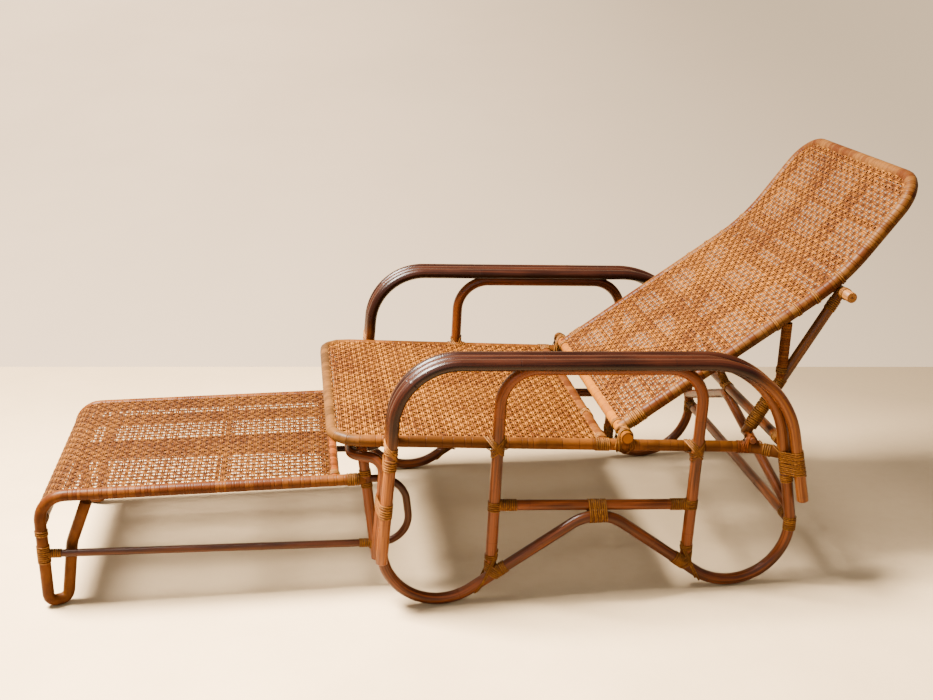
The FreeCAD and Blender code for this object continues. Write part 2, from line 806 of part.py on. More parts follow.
rest_along = size.first_batten + 2 * size.batten_pitch
rest_offset = cross_offset - size.batten_cane / 2 - size.running_gap
rest_top = hinge + lower_way * rest_along + lower_up * rest_offset
rest_foot = V(high_x, 0, high_z)
batten_keepout = pole("batten_keepout", rest_top + lower_up * (size.batten_cane / 2
                                                               + size.running_gap)
                      - ACROSS * size.pole,
                      rest_top + lower_up * (size.batten_cane / 2 + size.running_gap)
                      + ACROSS * size.pole, "batten_cane")
bind(batten_keepout, Radius="Sizes.batten_cane / 2 + Sizes.running_gap")
rest_post = node(coped("back_rest_post", pole(
    "rest_post_whole", rest_foot, rest_top + lower_up * (size.batten_cane / 2), "slim_cane"),
    [high_stretcher, batten_keepout]))

# Prop: legs on pegs at the seat rails, cross dowel in the back's rack, struts

peg_z = rail_z(size.prop_foot_x) + (
    (size.pole + size.peg) / 2 + size.running_gap) / cos(size.seat_slope)
prop_foot = V(size.prop_foot_x, 0, peg_z)
dowel_offset = -(size.wrapped_pole + size.cross_pole) / 2 - size.running_gap
dowel = hinge + lower_way * size.dowel_reach + lower_up * dowel_offset
arc_centre = neck + bend_up * (size.back_bend / cos(head_turn))
to_dowel = dowel - arc_centre
ring_radius = size.back_bend - dowel_offset
if size.dowel_reach > size.back_lower - neck_tangent:
    dowel = arc_centre + to_dowel.normalize() * ring_radius
leg_way = (dowel - prop_foot).normalize()
strut_foot = prop_foot + leg_way * size.strut_foot
strut_top = hinge + lower_way * size.strut_reach
strut_way = (strut_top - strut_foot).normalize()
dowel_half = back_half + size.dowel_overhang
prop_dowel = node(pole("prop_dowel", dowel - ACROSS * dowel_half,
                       dowel + ACROSS * dowel_half, "cross_pole"))
pegs = []
prop_sleeves = []
prop_canes = []
for name, side in SIDES:
    lane = ACROSS * (side * back_half)
    leg_whole = pole("prop_leg_whole_" + name, prop_foot + lane, dowel + lane, "cross_pole")
    rail_keepout = pole("strut_keepout_" + name, hinge + lane, neck + lane, "wrapped_pole")
    bind(rail_keepout,
         Radius="Sizes.wrapped_pole / 2 + Sizes.rack_height + Sizes.running_gap")
    peg = pole("prop_peg_" + name, prop_foot + lane - ACROSS * (side * size.cross_pole / 2),
               prop_foot + ACROSS * (side * (rail_half + size.peg_half_length)), "peg")
    pegs.append(peg)
    leg = node(coped("prop_leg_" + name, leg_whole, [prop_dowel, peg]))
    strut = node(coped("prop_strut_" + name, pole(
        "strut_whole_" + name, strut_foot + lane, strut_top + lane, "cross_pole"),
        [leg_whole, rail_keepout]))
    prop_canes.extend([leg, strut])
node(group("prop_foot_pegs", pegs))

# Footrest

upright_tan = tan(size.upright_lean)


def upright_axis_x(z):
    return size.upright_x - (z - size.footrest_z) * upright_tan


bar_z = guide_top_z + size.running_gap + size.slim_cane / 2
bar_x = upright_axis_x(bar_z)
upright_top_z = bar_z + size.slim_cane / 2
rod_rear_x = upright_axis_x(size.rod_rear_z)
footrest = {}
for name, side in SIDES:
    y = footrest_half
    upright = node(pole("footrest_upright_" + name,
                        point(upright_axis_x(size.upright_foot_z), side, y,
                              size.upright_foot_z),
                        point(upright_axis_x(upright_top_z), side, y, upright_top_z),
                        "cross_pole"))
    rail_whole = bent_cane("footrest_rail_whole_" + name, (
        (point(size.upright_x, side, y, size.footrest_z), 0),
        (point(size.footrest_front_x, side, y, size.footrest_z), size.shoulder_bend),
        (point(size.footrest_front_x, side, y, ground_z), size.toe_bend),
        (point(size.footrest_front_x + size.toe_length, side, y - size.toe_inset, ground_z),
         size.toe_bend),
        (point(size.return_knee_x, side, y - size.return_knee_inset, size.return_knee_z),
         size.return_knee_bend),
        (point(size.return_top_x, side, y - size.pole / 2,
               size.footrest_z - hoop_drop), 0),
    ), "pole")
    rail = node(coped("footrest_rail_" + name, rail_whole, [upright]))
    rod = node(coped("footrest_rod_" + name, pole(
        "footrest_rod_whole_" + name,
        point(size.footrest_front_x, side, y, size.rod_front_z),
        point(rod_rear_x, side, y, size.rod_rear_z), "slim_cane"), [rail, upright]))
    bow = node(coped("footrest_rear_bow_" + name, bent_cane("rear_bow_whole_" + name, (
        (point(size.upright_x, side, y, size.footrest_z), 0),
        (point(size.upright_x + size.bow_depth, side, y, size.footrest_z),
         size.rear_bow_bend),
        (point(rod_rear_x + size.bow_depth, side, y, size.rod_rear_z),
         size.rear_bow_bend),
        (point(rod_rear_x, side, y, size.rod_rear_z), 0),
    ), "slim_cane"), [upright]))
    footrest[name] = {"rail": rail, "rod": rod, "upright": upright, "bow": bow}

rails = [footrest["left"]["rail"], footrest["right"]["rail"]]
uprights = [footrest["left"]["upright"], footrest["right"]["upright"]]
y = footrest_half
rear_cross = node(coped("footrest_rear_rail", pole(
    "footrest_rear_whole", V(size.footrest_rear_x, -y, size.footrest_z),
    V(size.footrest_rear_x, y, size.footrest_z), "cross_pole"), rails))
nose = node(coped("footrest_nose_rail", pole(
    "nose_whole", V(size.footrest_front_x, -y, size.nose_z),
    V(size.footrest_front_x, y, size.nose_z), "cross_pole"), rails))
hanger = node(coped("footrest_hanger_bar", pole(
    "hanger_whole", V(bar_x, -y, bar_z), V(bar_x, y, bar_z), "slim_cane"), uprights))


def footrest_sheet(label, low, thick, y_half):
    """Sheet that runs along the rails and over the shoulder to the nose rail."""
    edges = []
    ends = []
    for offset in (low, low + thick):
        front_x = size.footrest_front_x - offset
        top_z = size.footrest_z + offset
        corners = (
            (V(size.footrest_rear_x, -y_half, top_z), 0),
            (V(front_x, -y_half, top_z), size.shoulder_bend + offset),
            (V(front_x, -y_half, size.nose_z), 0),
        )
        edges.extend(route(corners).Edges)
        ends.append((corners[0][0], corners[2][0]))
    edges.append(Part.makeLine(ends[0][0], ends[1][0]))
    edges.append(Part.makeLine(ends[0][1], ends[1][1]))
    profile = doc.addObject("Part::Feature", label + "_profile")
    profile.Shape = Part.Face(Part.Wire(Part.__sortEdges__(edges)))
    sheet_item = doc.addObject("Part::Extrusion", label)
    sheet_item.Base = profile
    sheet_item.DirMode = "Custom"
    sheet_item.Dir = ACROSS
    sheet_item.LengthFwd = 2 * y_half
    sheet_item.Solid = True
    return sheet_item


panel_offset = panel_low + size.weave / 2
panel_top_z = size.footrest_z + panel_offset
panel_front_x = size.footrest_front_x - panel_offset
footrest_line = ((V(size.footrest_rear_x, 0, panel_top_z), 0),
                 (V(panel_front_x, 0, panel_top_z), size.shoulder_bend + panel_offset),
                 (V(panel_front_x, 0, size.nose_z), 0))
flat_length = size.footrest_rear_x - size.footrest_front_x - size.shoulder_bend
footrest_panel = coped("footrest_panel", footrest_sheet(
    "footrest_weave_whole", panel_low, size.weave, y), rails + [rear_cross, nose])
footrest_open = coped("footrest_open", footrest_panel, [windows(
    "footrest_window", footrest_line, size.cross_pole / 2 + size.panel_margin,
    flat_length - size.panel_margin, y - size.pole / 2 - size.panel_margin)])
node(sections("footrest_weave", footrest_open, footrest_line, [flat_length], y))
foot_long_z = size.footrest_z + panel_low - size.batten_cane / 2
foot_cross_z = foot_long_z - size.batten_cane
foot_battens = [
    pole("footrest_long_batten",
         V(size.footrest_front_x + size.shoulder_bend, 0, foot_long_z),
         V(size.footrest_rear_x, 0, foot_long_z), "batten_cane"),
    pole("footrest_cross_batten", V(size.footrest_batten_x, -y, foot_cross_z),
         V(size.footrest_batten_x, y, foot_cross_z), "batten_cane"),
]
node(coped("footrest_battens", group("footrest_batten_set", foot_battens),
           rails + [rear_cross]))

# Straps that hold the back's hinge pole and the prop's pegs on the seat rails

strap_outer = rail_half + size.pole / 2 + size.strap + size.strap_bite


def strap_outline(pin, low_z, radius):
    """Upright slot outline around a pin and down to the underside of the rail."""
    shift = V(radius, 0, 0)
    low = V(pin.x, 0, low_z)
    return Part.Wire([
        Part.Arc(pin + shift, pin + UP * radius, pin - shift).toShape(),
        Part.makeLine(pin - shift, low - shift),
        Part.Arc(low - shift, low - UP * radius, low + shift).toShape(),
        Part.makeLine(low + shift, pin + shift),
    ])


def strap(label, side, pin, pin_size):
    bore = pin_size / 2 + size.running_gap
    under_z = rail_z(pin.x) - size.pole / 2 + size.strap_bite
    low_z = under_z + bore
    outline = doc.addObject("Part::Feature", label + "_outline")
    outline.Shape = Part.Face(strap_outline(pin, low_z, bore + size.strap)).cut(
        Part.Face(strap_outline(pin, low_z, bore)))
    outline.Placement.Base = ACROSS * (strap_inner if side > 0 else -strap_outer)
    block = doc.addObject("Part::Extrusion", label + "_block")
    block.Base = outline
    block.DirMode = "Custom"
    block.Dir = ACROSS
    block.LengthFwd = strap_outer - strap_inner
    block.Solid = True
    return coped(label, block, [seat_rail])


hinge_straps = []
prop_straps = []
for name, side in SIDES:
    hinge_straps.append(strap("hinge_strap_" + name, side, hinge, size.hinge_pole))
    prop_straps.append(strap("prop_strap_" + name, side, prop_foot, size.peg))
node(group("hinge_straps", hinge_straps))
node(group("prop_straps", prop_straps))

# Lashings: a sleeve on each cane that a binding holds, less the canes themselves

def slab(label, start, end, other, thickness):
    """Flat piece between two canes: start to end along one axis, other on the next."""
    along = end - start
    across = other - start
    across = across - along * (across.dot(along) / along.dot(along))
    item = doc.addObject("Part::Box", label)
    item.Length = across.Length
    item.Width = thickness
    item.Height = along.Length
    turn = FreeCAD.Rotation(across, V(), along, "ZXY")
    item.Placement = FreeCAD.Placement(start - turn.multVec(ACROSS) * (thickness / 2), turn)
    return item


def binding(label, runs, tools, bridged=True, extra="Sizes.lashing"):
    """Binding around canes: runs are (start, end, diameter), tools are the canes."""
    pieces = []
    cores = list(tools)
    for number, (start, end, diameter) in enumerate(runs, start=1):
        pieces.append(sleeve("%s_run_%d" % (label, number), start, end, diameter, extra))
    for number, (one, other) in enumerate(zip(runs, runs[1:]), start=1):
        if bridged:
            wide = getattr(size, other[2]) + size.lashing
            pieces.append(slab("%s_bridge_%d" % (label, number), one[0], one[1], other[0],
                               wide))
            cores.append(slab("%s_web_%d" % (label, number),
                              one[0] - (one[1] - one[0]), one[1] + (one[1] - one[0]),
                              other[0], size.web))
    whole = pieces[0] if len(pieces) == 1 else joined(label + "_whole", pieces)
    return coped(label, whole, cores)


def span(middle, way, reach):
    return middle - way * reach, middle + way * reach


def post_run(axis_x, side, y, middle_z, long):
    low_z = middle_z - long / 2
    high_z = middle_z + long / 2
    return point(axis_x(low_z), side, y, low_z), point(axis_x(high_z), side, y, high_z)


hoop_way = V(sin(size.hoop_lean), 0, cos(size.hoop_lean))
rail_way = V(cos(size.seat_slope), 0, -sin(size.seat_slope))
level_way = V(cos(size.stretcher_slope), 0, -sin(size.stretcher_slope))
rise_way = V(rise_direction[0], 0, rise_direction[1])
fall_way = V(fall_direction[0], 0, fall_direction[1])
AHEAD = V(1, 0, 0)
post_ties = []
hoop_ties = []
stretcher_ties = []
rear_ties = []
joint_ties = []
seat_ties = []
for name, side in SIDES:
    canes = frame[name]
    outer, middle, inner = canes["outer"], canes["middle"], canes["inner"]
    runner, hoop, stretcher = canes["runner"], canes["hoop"], canes["stretcher"]
    post_ties.append(binding("post_tie_high_" + name, (
        post_run(post_x, side, outer_half, size.post_wrap_z, size.post_wrap) + ("pole",),
        post_run(post_x, side, size.side_half, size.post_wrap_z, size.post_wrap) + ("pole",),
    ), [outer, middle, runner, inner, seat_rail, front_bow]))
    post_ties.append(binding("post_tie_low_" + name, (
        post_run(post_x, side, outer_half, size.low_wrap_z, size.low_wrap) + ("pole",),
        post_run(post_x, side, size.side_half, size.low_wrap_z, size.low_wrap) + ("pole",),
        post_run(bow_post_x, side, bow_side, size.low_wrap_z, size.low_wrap)
        + ("cross_pole",),
    ), [outer, runner, front_bow]))
    rear_ties.append(binding("rear_tie_" + name, (
        post_run(tail_x, side, outer_half, size.rear_wrap_z, size.rear_wrap) + ("pole",),
        post_run(loop_rear_x, side, size.side_half, size.rear_wrap_z, size.rear_wrap)
        + ("pole",),
        post_run(tail_x, side, inner_half, size.rear_wrap_z, size.rear_wrap) + ("pole",),
    ), [outer, middle, runner, inner, seat_rail, high_stretcher]))
    for place, foot_place, way in (("front", size.hoop_front_x, rise_way),
                                   ("rear", size.hoop_rear_x, fall_way)):
        foot_z = runner_z(foot_place)
        cross_x, cross_z = rail_crossing(foot_place)
        knot_rail = point(cross_x, side, rail_half, cross_z)
        knot_hoop = point(cross_x, side, hoop_half, cross_z)
        web_pin = pole("hoop_web_%s_%s" % (place, name), knot_rail, knot_hoop, "web")
        hoop_ties.append(binding("hoop_tie_%s_%s" % (place, name), (
            span(knot_hoop, hoop_way, size.knot_reach) + ("pole",),
            span(knot_rail, rail_way, size.knot_reach) + ("pole",),
        ), [hoop, seat_rail, seat_weave, web_pin], False))
        foot = point(foot_place, side, hoop_half, foot_z)
        on_runner = point(foot_place, side, size.side_half, foot_z)
        hoop_ties.append(binding("foot_tie_%s_%s" % (place, name), (
            (foot + hoop_way * (size.pole / 4), foot + hoop_way * size.foot_wrap, "pole"),
            span(on_runner, way, size.knot_reach) + ("pole",),
        ), [hoop, runner], False))
        end_x, end_z = stretcher_end(foot_place)
        inward = level_way * (1 if place == "front" else -1)
        stretcher_start = point(end_x, side, hoop_half, end_z) + inward * (size.pole / 4)
        stretcher_ties.append(binding("end_tie_%s_%s" % (place, name), (
            (stretcher_start, stretcher_start + inward * size.end_wrap, "cross_pole"),
        ), [hoop, stretcher]))
    arch_top = point(arch_top_x, side, size.side_half, arch_top_z)
    on_stretcher = point(arch_top_x, side, hoop_half, stretcher_z)
    stretcher_ties.append(binding("arch_tie_" + name, (
        span(arch_top, AHEAD, size.arch_wrap / 2) + ("pole",),
        span(on_stretcher, level_way, size.arch_wrap / 2) + ("cross_pole",),
    ), [runner, stretcher]))
    turn_point = point(size.rail_turn_x, side, rail_half, rail_z(size.rail_turn_x))
    rail_end = point(rail_end_x, side, size.side_half, rail_z(rail_end_x))
    out_way = (rail_end - turn_point).normalize()
    joint_ties.append(binding("rail_end_tie_" + name, (
        (rail_end - out_way * (size.pole + size.joint_wrap / 2), rail_end
         - out_way * (size.pole / 2), "pole"),
    ), [seat_rail, middle, runner, inner, high_stretcher]))
    for place, place_x, place_z, piece in (
            ("high", high_x, high_z, high_stretcher),
            ("low", low_x, size.low_stretcher_z, low_stretcher)):
        start = point(place_x, side, size.side_half - size.pole / 2, place_z)
        joint_ties.append(binding("%s_tie_%s" % (place, name), (
            (start, start - ACROSS * (side * size.joint_wrap), "cross_pole"),
        ), [piece, seat_rail, middle, runner, inner, rear_arch]))
    corner = point(size.rear_rail_x, side, rail_half, rear_rail_z)
    seat_ties.append(binding("seat_corner_tie_" + name, (
        span(corner, rail_way, size.knot_reach) + ("pole",),
        (corner, corner - ACROSS * (side * size.joint_wrap), "wrapped_pole"),
    ), [seat_rail, seat_rear_rail, seat_weave], False))
    for place, place_x, place_z, piece, diameter in (
            ("front", size.bow_x, bow_z, front_bow, "cross_pole"),
            ("rear", size.rear_rail_x, rear_rail_z, seat_rear_rail, "wrapped_pole")):
        on_guide = point(place_x, side, size.guide_half, guide_z)
        on_piece = point(place_x, side, size.guide_half, place_z)
        web_pin = pole("guide_web_%s_%s" % (place, name), on_guide, on_piece, "web")
        seat_ties.append(binding("guide_tie_%s_%s" % (place, name), (
            span(on_guide, AHEAD, size.dowel_wrap) + ("slim_cane",),
            span(on_piece, ACROSS, size.dowel_wrap) + (diameter,),
        ), [nodes["footrest_guide_" + name], piece, seat_weave, web_pin], False))
middle_foot = V(high_x, 0, high_z)
post_way = (rest_top - rest_foot).normalize()
joint_ties.append(binding("post_foot_tie", (
    span(middle_foot, ACROSS, size.joint_wrap / 2) + ("cross_pole",),
    (middle_foot, middle_foot + post_way * size.joint_wrap, "slim_cane"),
    ), [high_stretcher, rest_post, rear_arch], False))
node(group("front_post_lashings", post_ties))
node(group("hoop_lashings", hoop_ties))
node(group("stretcher_lashings", stretcher_ties))
node(group("rear_post_lashings", rear_ties))
node(group("rear_joint_lashings", joint_ties))
node(group("seat_lashings", seat_ties))

# Lashings of the back, the prop and the footrest

hinge_ties = []
rack_ties = []
prop_ties = []
footrest_ties = []
upright_way = V(-sin(size.upright_lean), 0, cos(size.upright_lean))
rod_way = V(rod_rear_x - size.footrest_front_x, 0, size.rod_rear_z
            - size.rod_front_z).normalize()


def back_axis(along, y):
    """Point on the back rails' axis at a length from the hinge, and the way there."""
    straight = size.back_lower - neck_tangent
    if along <= straight:
        return hinge + lower_way * along + ACROSS * y, lower_way
    angle = math.degrees((along - straight) / size.back_bend)
    centre = hinge + lower_way * straight + lower_up * size.back_bend
    way = lower_way * cos(angle) + lower_up * sin(angle)
    up = lower_up * cos(angle) - lower_way * sin(angle)
    return centre - up * size.back_bend + ACROSS * y, way


for number, along in enumerate((size.notch_four, size.notch_three, size.notch_two,
                                size.notch_one), start=1):
    middle, way = back_axis(along, -back_half)
    rack_tie = binding("rack_tie_left_%d" % number, (
        span(middle, way, size.rack_wrap / 2) + ("wrapped_pole",),
    ), [back_frame, back_panel, back_cross_set], extra="Sizes.rack_height")
    twin = doc.addObject("Part::Mirroring", "rack_tie_right_%d" % number)
    twin.Source = rack_tie
    twin.Normal = ACROSS
    rack_ties.extend([rack_tie, twin])
for name, side in SIDES:
    lane = ACROSS * (side * back_half)
    start = hinge + lower_way * size.hinge_wrap_start + lane
    hinge_ties.append(binding("rail_tie_" + name, (
        (start, start + lower_way * size.hinge_wrap, "wrapped_pole"),
    ), [back_frame, back_panel]))
    start = hinge + ACROSS * (side * (back_half - size.wrapped_pole / 2))
    hinge_ties.append(binding("pole_tie_" + name, (
        (start, start - ACROSS * (side * size.dowel_wrap), "hinge_pole"),
    ), [hinge_pole, back_frame, back_panel]))
    canes = footrest[name]
    lane = ACROSS * (side * back_half)
    leg = nodes["prop_leg_" + name]
    strut = nodes["prop_strut_" + name]
    start = dowel + ACROSS * (side * (strap_inner - size.side_gap / 2))
    prop_ties.append(binding("dowel_tie_" + name, (
        (start, start + ACROSS * (side * size.dowel_wrap), "cross_pole"),
    ), [prop_dowel]))
    start = dowel + lane - leg_way * size.knot_reach
    prop_ties.append(binding("leg_top_tie_" + name, (
        (start, start - leg_way * size.joint_wrap, "cross_pole"),
    ), [leg, prop_dowel]))
    prop_ties.append(binding("strut_tie_" + name, (
        span(strut_foot + lane, leg_way, size.knot_reach) + ("cross_pole",),
        (strut_foot + lane, strut_foot + lane + strut_way * size.joint_wrap, "cross_pole"),
    ), [leg, strut], False))
    start = prop_foot + lane + leg_way * (size.peg / 2)
    prop_ties.append(binding("leg_foot_tie_" + name, (
        (start, start + leg_way * size.prop_foot_wrap, "cross_pole"),
    ), [leg, pegs[0] if side < 0 else pegs[1]]))
    y = footrest_half
    knee = point(size.upright_x, side, y, size.footrest_z)
    heel = point(rod_rear_x, side, y, size.rod_rear_z)
    tools = [canes["upright"], canes["rail"], canes["bow"], canes["rod"]]
    footrest_ties.append(binding("knee_tie_" + name, (
        span(knee, upright_way, size.knot_reach) + ("cross_pole",),
        (knee, knee - AHEAD * (size.joint_wrap + size.pole / 2), "pole"),
    ), tools, False))
    footrest_ties.append(binding("heel_tie_" + name, (
        span(heel, upright_way, size.knot_reach) + ("cross_pole",),
        (heel, heel - rod_way * size.joint_wrap, "slim_cane"),
    ), tools, False))
    toe = point(size.footrest_front_x, side, y, size.rod_front_z)
    footrest_ties.append(binding("toe_tie_" + name, (
        span(toe, UP, size.knot_reach) + ("pole",),
        (toe, toe + rod_way * size.joint_wrap, "slim_cane"),
    ), tools, False))
    bar_end = point(bar_x, side, y - size.cross_pole / 2, bar_z)
    footrest_ties.append(binding("bar_tie_" + name, (
        (bar_end, bar_end - ACROSS * (side * size.dowel_wrap), "slim_cane"),
    ), [hanger, canes["upright"]]))
    rear_end = point(size.footrest_rear_x, side, y, size.footrest_z)
    footrest_ties.append(binding("rear_rail_tie_" + name, (
        (rear_end, rear_end - ACROSS * (side * size.joint_wrap), "cross_pole"),
    ), [rear_cross, canes["rail"], footrest_panel]))
    nose_end = point(size.footrest_front_x, side, y, size.nose_z)
    footrest_ties.append(binding("nose_tie_" + name, (
        (nose_end, nose_end - ACROSS * (side * size.joint_wrap), "cross_pole"),
    ), [nose, canes["rail"], footrest_panel]))
node(group("back_hinge_lashings", hinge_ties))
node(group("back_rack_wraps", rack_ties))
node(group("prop_lashings", prop_ties))
node(group("footrest_lashings", footrest_ties))

doc.recompute()

# Check every object, then write one file a node

for item in doc.Objects:
    for state in item.State:
        if state in ("Invalid", "Error"):
            raise RuntimeError("%s is %s" % (item.Label, state))
for label, item in nodes.items():
    if item.Shape.isNull() or not item.Shape.isValid():
        raise RuntimeError("%s has no valid shape" % label)

os.makedirs("parts", exist_ok=True)
for label, item in nodes.items():
    item.Shape.exportStep("parts/%s.step" % label)
print("%d nodes" % len(nodes))
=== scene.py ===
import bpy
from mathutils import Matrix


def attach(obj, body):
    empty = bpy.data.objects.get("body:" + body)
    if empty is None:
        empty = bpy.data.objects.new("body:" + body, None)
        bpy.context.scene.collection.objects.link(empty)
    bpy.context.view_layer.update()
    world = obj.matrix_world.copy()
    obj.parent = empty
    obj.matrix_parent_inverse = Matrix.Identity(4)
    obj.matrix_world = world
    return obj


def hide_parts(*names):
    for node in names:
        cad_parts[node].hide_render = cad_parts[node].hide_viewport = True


bl_info = {
    "name": "Reclining Long Chair",
    "version": (1, 0, 0),
    "blender": (4, 5, 0),
    "location": "View3D > Sidebar > Long Chair",
    "description": "Dresses the packed long chair with rattan canes, lashings and woven panels",
    "category": "Object",
}

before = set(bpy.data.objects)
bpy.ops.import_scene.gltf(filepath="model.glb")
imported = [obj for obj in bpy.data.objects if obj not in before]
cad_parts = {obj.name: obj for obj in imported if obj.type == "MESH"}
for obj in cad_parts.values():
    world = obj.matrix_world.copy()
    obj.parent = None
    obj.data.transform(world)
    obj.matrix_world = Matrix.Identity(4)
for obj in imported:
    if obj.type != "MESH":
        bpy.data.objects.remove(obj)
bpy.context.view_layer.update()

import math
import random

import bmesh
import bpy
from bpy.props import FloatProperty, FloatVectorProperty, IntProperty, PointerProperty
from mathutils import Quaternion, Vector, noise

MM = 0.001
TO_MM = 1000
SIDES = (("_left", 1), ("_right", -1))
ALONE = (("", 1),)
UP = Vector((0, 0, 1))
ACROSS = Vector((0, 1, 0))
AHEAD = Vector((1, 0, 0))


def mirrored(*corners):
    """Corners of a cane that runs on over the middle to the other side."""
    return [*corners, *((x, -y, z, *bend) for x, y, z, *bend in reversed(corners) if y)]


# Cut list: name, diameter, finish, slot and corners, which are x, y, z in millimetres and the
# radius of the bend. A wound cane adds the width of a turn in windings, whether its ends are
# closed, and the wound length. The right twin's y changes sign.
ARM = ("pole", "stained cane", "dark_cane")
BROWN = ("brown cane", "brown_cane")
DEEP = ("deep brown cane", "brown_cane")
HONEY = ("honey cane", "honey_cane")
ARM_CANES = (
    ("outer_arm_cane", *ARM, ((-217, -374, 114), (-175, -374, 531, 130),
                              (599, -374, 497.2, 200), (659, -374, 197))),
    ("middle_arm_cane", *ARM, ((-195.5, -350, 328), (-175, -350, 531, 130),
                               (586.4, -350, 497.8, 200), (624.1, -350, 272))),
    ("inner_arm_cane", *ARM, ((-192.2, -326, 352), (-175, -326, 531, 130),
                              (599, -326, 497.2, 200), (652, -326, 232))))
RUNNER = ((-195.5, -350, 328), (-238.6, -350, -100.2, 118), (230.5, -350, 198.6, 95),
          (695, -350, -151.4, 125), (624.1, -350, 272))
SIDE_CANES = (
    ("runner_cane", "pole", *BROWN, RUNNER),
    ("inner_hoop", "pole", *BROWN, ((9, -338, 57.5), (32.3, -338, 501.1, 75),
                                    (447.6, -338, 483, 75), (425, -338, 52.1))),
    ("side_stretcher", "cross_pole", *BROWN, ((17, -338, 209.9), (432, -338, 186))))
SEAT_CANES = (
    ("seat_rail", "pole", "wound seat cane", "honey_cane",
     mirrored((619.8, -350, 293.8), (560, -314, 298.1, 60), (-304, -314, 360, 55)), 2),
    ("seat_rear_rail", "wrapped_pole", "footrest wound cane", "wrapped_cane",
     mirrored((245, -314, 320.6)), 1.4),
    ("front_bow", "cross_pole", *BROWN,
     mirrored((-224.3, -327.9, 106), (-203, -327.9, 318.1, 28), (-268, -290, 318.1, 28))))
GUIDE = ("footrest_guide", "slim_cane", *HONEY, ((-290, -150, 299.1), (267, -150, 299.1)))
REAR_CANES = (
    ("rear_high_stretcher", "cross_pole", *BROWN, mirrored((616.5, -350, 317.7))),
    ("rear_low_stretcher", "cross_pole", *BROWN, mirrored((645.7, -350, 143))),
    ("rear_arch", "cross_pole", *BROWN, mirrored((641.6, -350, 168), (616.5, 0, 299.6, 60))),
    ("back_rest_post", "slim_cane", *HONEY, ((616.5, 0, 317.7), (530.4, 0, 483.4))))
BACK_FRAME = mirrored((289, -283, 342.4), (739.1, -283, 642.5, 450), (891.1, -283, 838.5, 72))
BACK_CANES = (
    ("hinge_pole", "hinge_pole", "pale wound cane", "honey_cane",
     mirrored((289, -343, 342.4)), 2.4),
    ("back_frame", "wrapped_pole", "wound cane", "wrapped_cane", BACK_FRAME, 1))
BACK_LONG_BATTEN = ((287.9, -95, 344), (737.7, -95, 644, 448), (889.5, -95, 839.7))
BACK_CROSS_BATTENS = ((372.5, 388.4), (449.4, 439.7), (526.4, 491.1), (603.3, 542.4),
                      (680.3, 593.7), (821.4, 735.6))
PROP_DOWEL = ("prop_dowel", "cross_pole", "pale cane", "honey_cane",
              mirrored((741, -335, 618.9)))
PROP_CANES = (
    ("prop_leg", "cross_pole", *HONEY, ((559, -283, 317), (741, -283, 618.9))),
    ("prop_strut", "cross_pole", "brown wound cane", "honey_cane",
     ((627.2, -283, 430), (631.4, -283, 556)), 0.5, False))
PROP_PEG = ((559, -272, 317), (559, -331, 317))
FOOTREST_SIDES = (
    ("footrest_rail", "pole", "footrest wound cane", "brown_cane",
     ((-238, -256, 247), (-892.5, -256, 247, 54), (-892.5, -256, 12, 16),
      (-856.5, -240, 12, 16), (-839.5, -231.5, 132, 60), (-801.5, -244, 226.2)), 1, True, 0.60),
    ("footrest_rod", "slim_cane", *DEEP, ((-892.5, -256, 121), (-223.9, -256, 101))),
    ("footrest_rear_bow", "slim_cane", *DEEP,
     ((-238, -256, 247), (-160, -256, 247, 58), (-145.9, -256, 101, 58), (-223.9, -256, 101)),
     None, False),
    ("footrest_upright", "cross_pole", *BROWN, ((-220.6, -256, 66), (-245.4, -256, 323.4))))
FOOTREST_CANES = (
    ("footrest_rear_rail", "cross_pole", "dark wound cane", "dark_cane",
     mirrored((-302, -256, 247)), 1),
    ("footrest_nose_rail", "cross_pole", *BROWN, mirrored((-892.5, -256, 188))),
    ("footrest_hanger_bar", "slim_cane", *BROWN, mirrored((-244.6, -256, 315.4))))
FOOTREST_BATTENS = (((-838.5, 0, 248.5), (-302, 0, 248.5)), mirrored((-533, -256, 238.5)))

# Fineness of a lashing, and of the splints under a panel, which end inside its frame
LASH_POINTS = 32
SPLINT_PITCH = 0.0095
SPLINT_STEPS = 24
OPEN_EDGE = 6 * MM

# Side reach and height of the backdrop, in metres
REACH, TOP = 9.0, 7.0


def size(name, description, default):
    return FloatProperty(name=name, description=description, default=default, unit="LENGTH")


def angle(name, description, degrees):
    return FloatProperty(name=name, description=description, default=math.radians(degrees),
                         subtype="ANGLE")


def tint(name, description, default):
    return FloatVectorProperty(name=name, description=description, default=default,
                               size=3, subtype="COLOR", min=0, max=1)


class CaneSizes(bpy.types.PropertyGroup):
    """Diameters and fineness of the canes."""

    pole: size("Pole", "Diameter of the main poles", 0.024)
    cross_pole: size("Cross pole", "Diameter of cross members", 0.022)
    wrapped_pole: size("Wrapped pole", "Diameter over the winding", 0.027)
    hinge_pole: size("Hinge pole", "Diameter of the hinge pole", 0.025)
    slim_cane: size("Slim cane", "Diameter of the slim canes", 0.016)
    batten: size("Batten", "Diameter of the battens", 0.010)
    peg: size("Peg", "Diameter of the prop's foot pegs", 0.013)
    joint_pitch: size("Joint pitch", "Distance between growth rings", 0.27)
    winding: size("Winding", "Width of one turn of wound strand", 0.0115)
    sides: IntProperty(name="Sides", description="Flat sides around a cane", default=20)


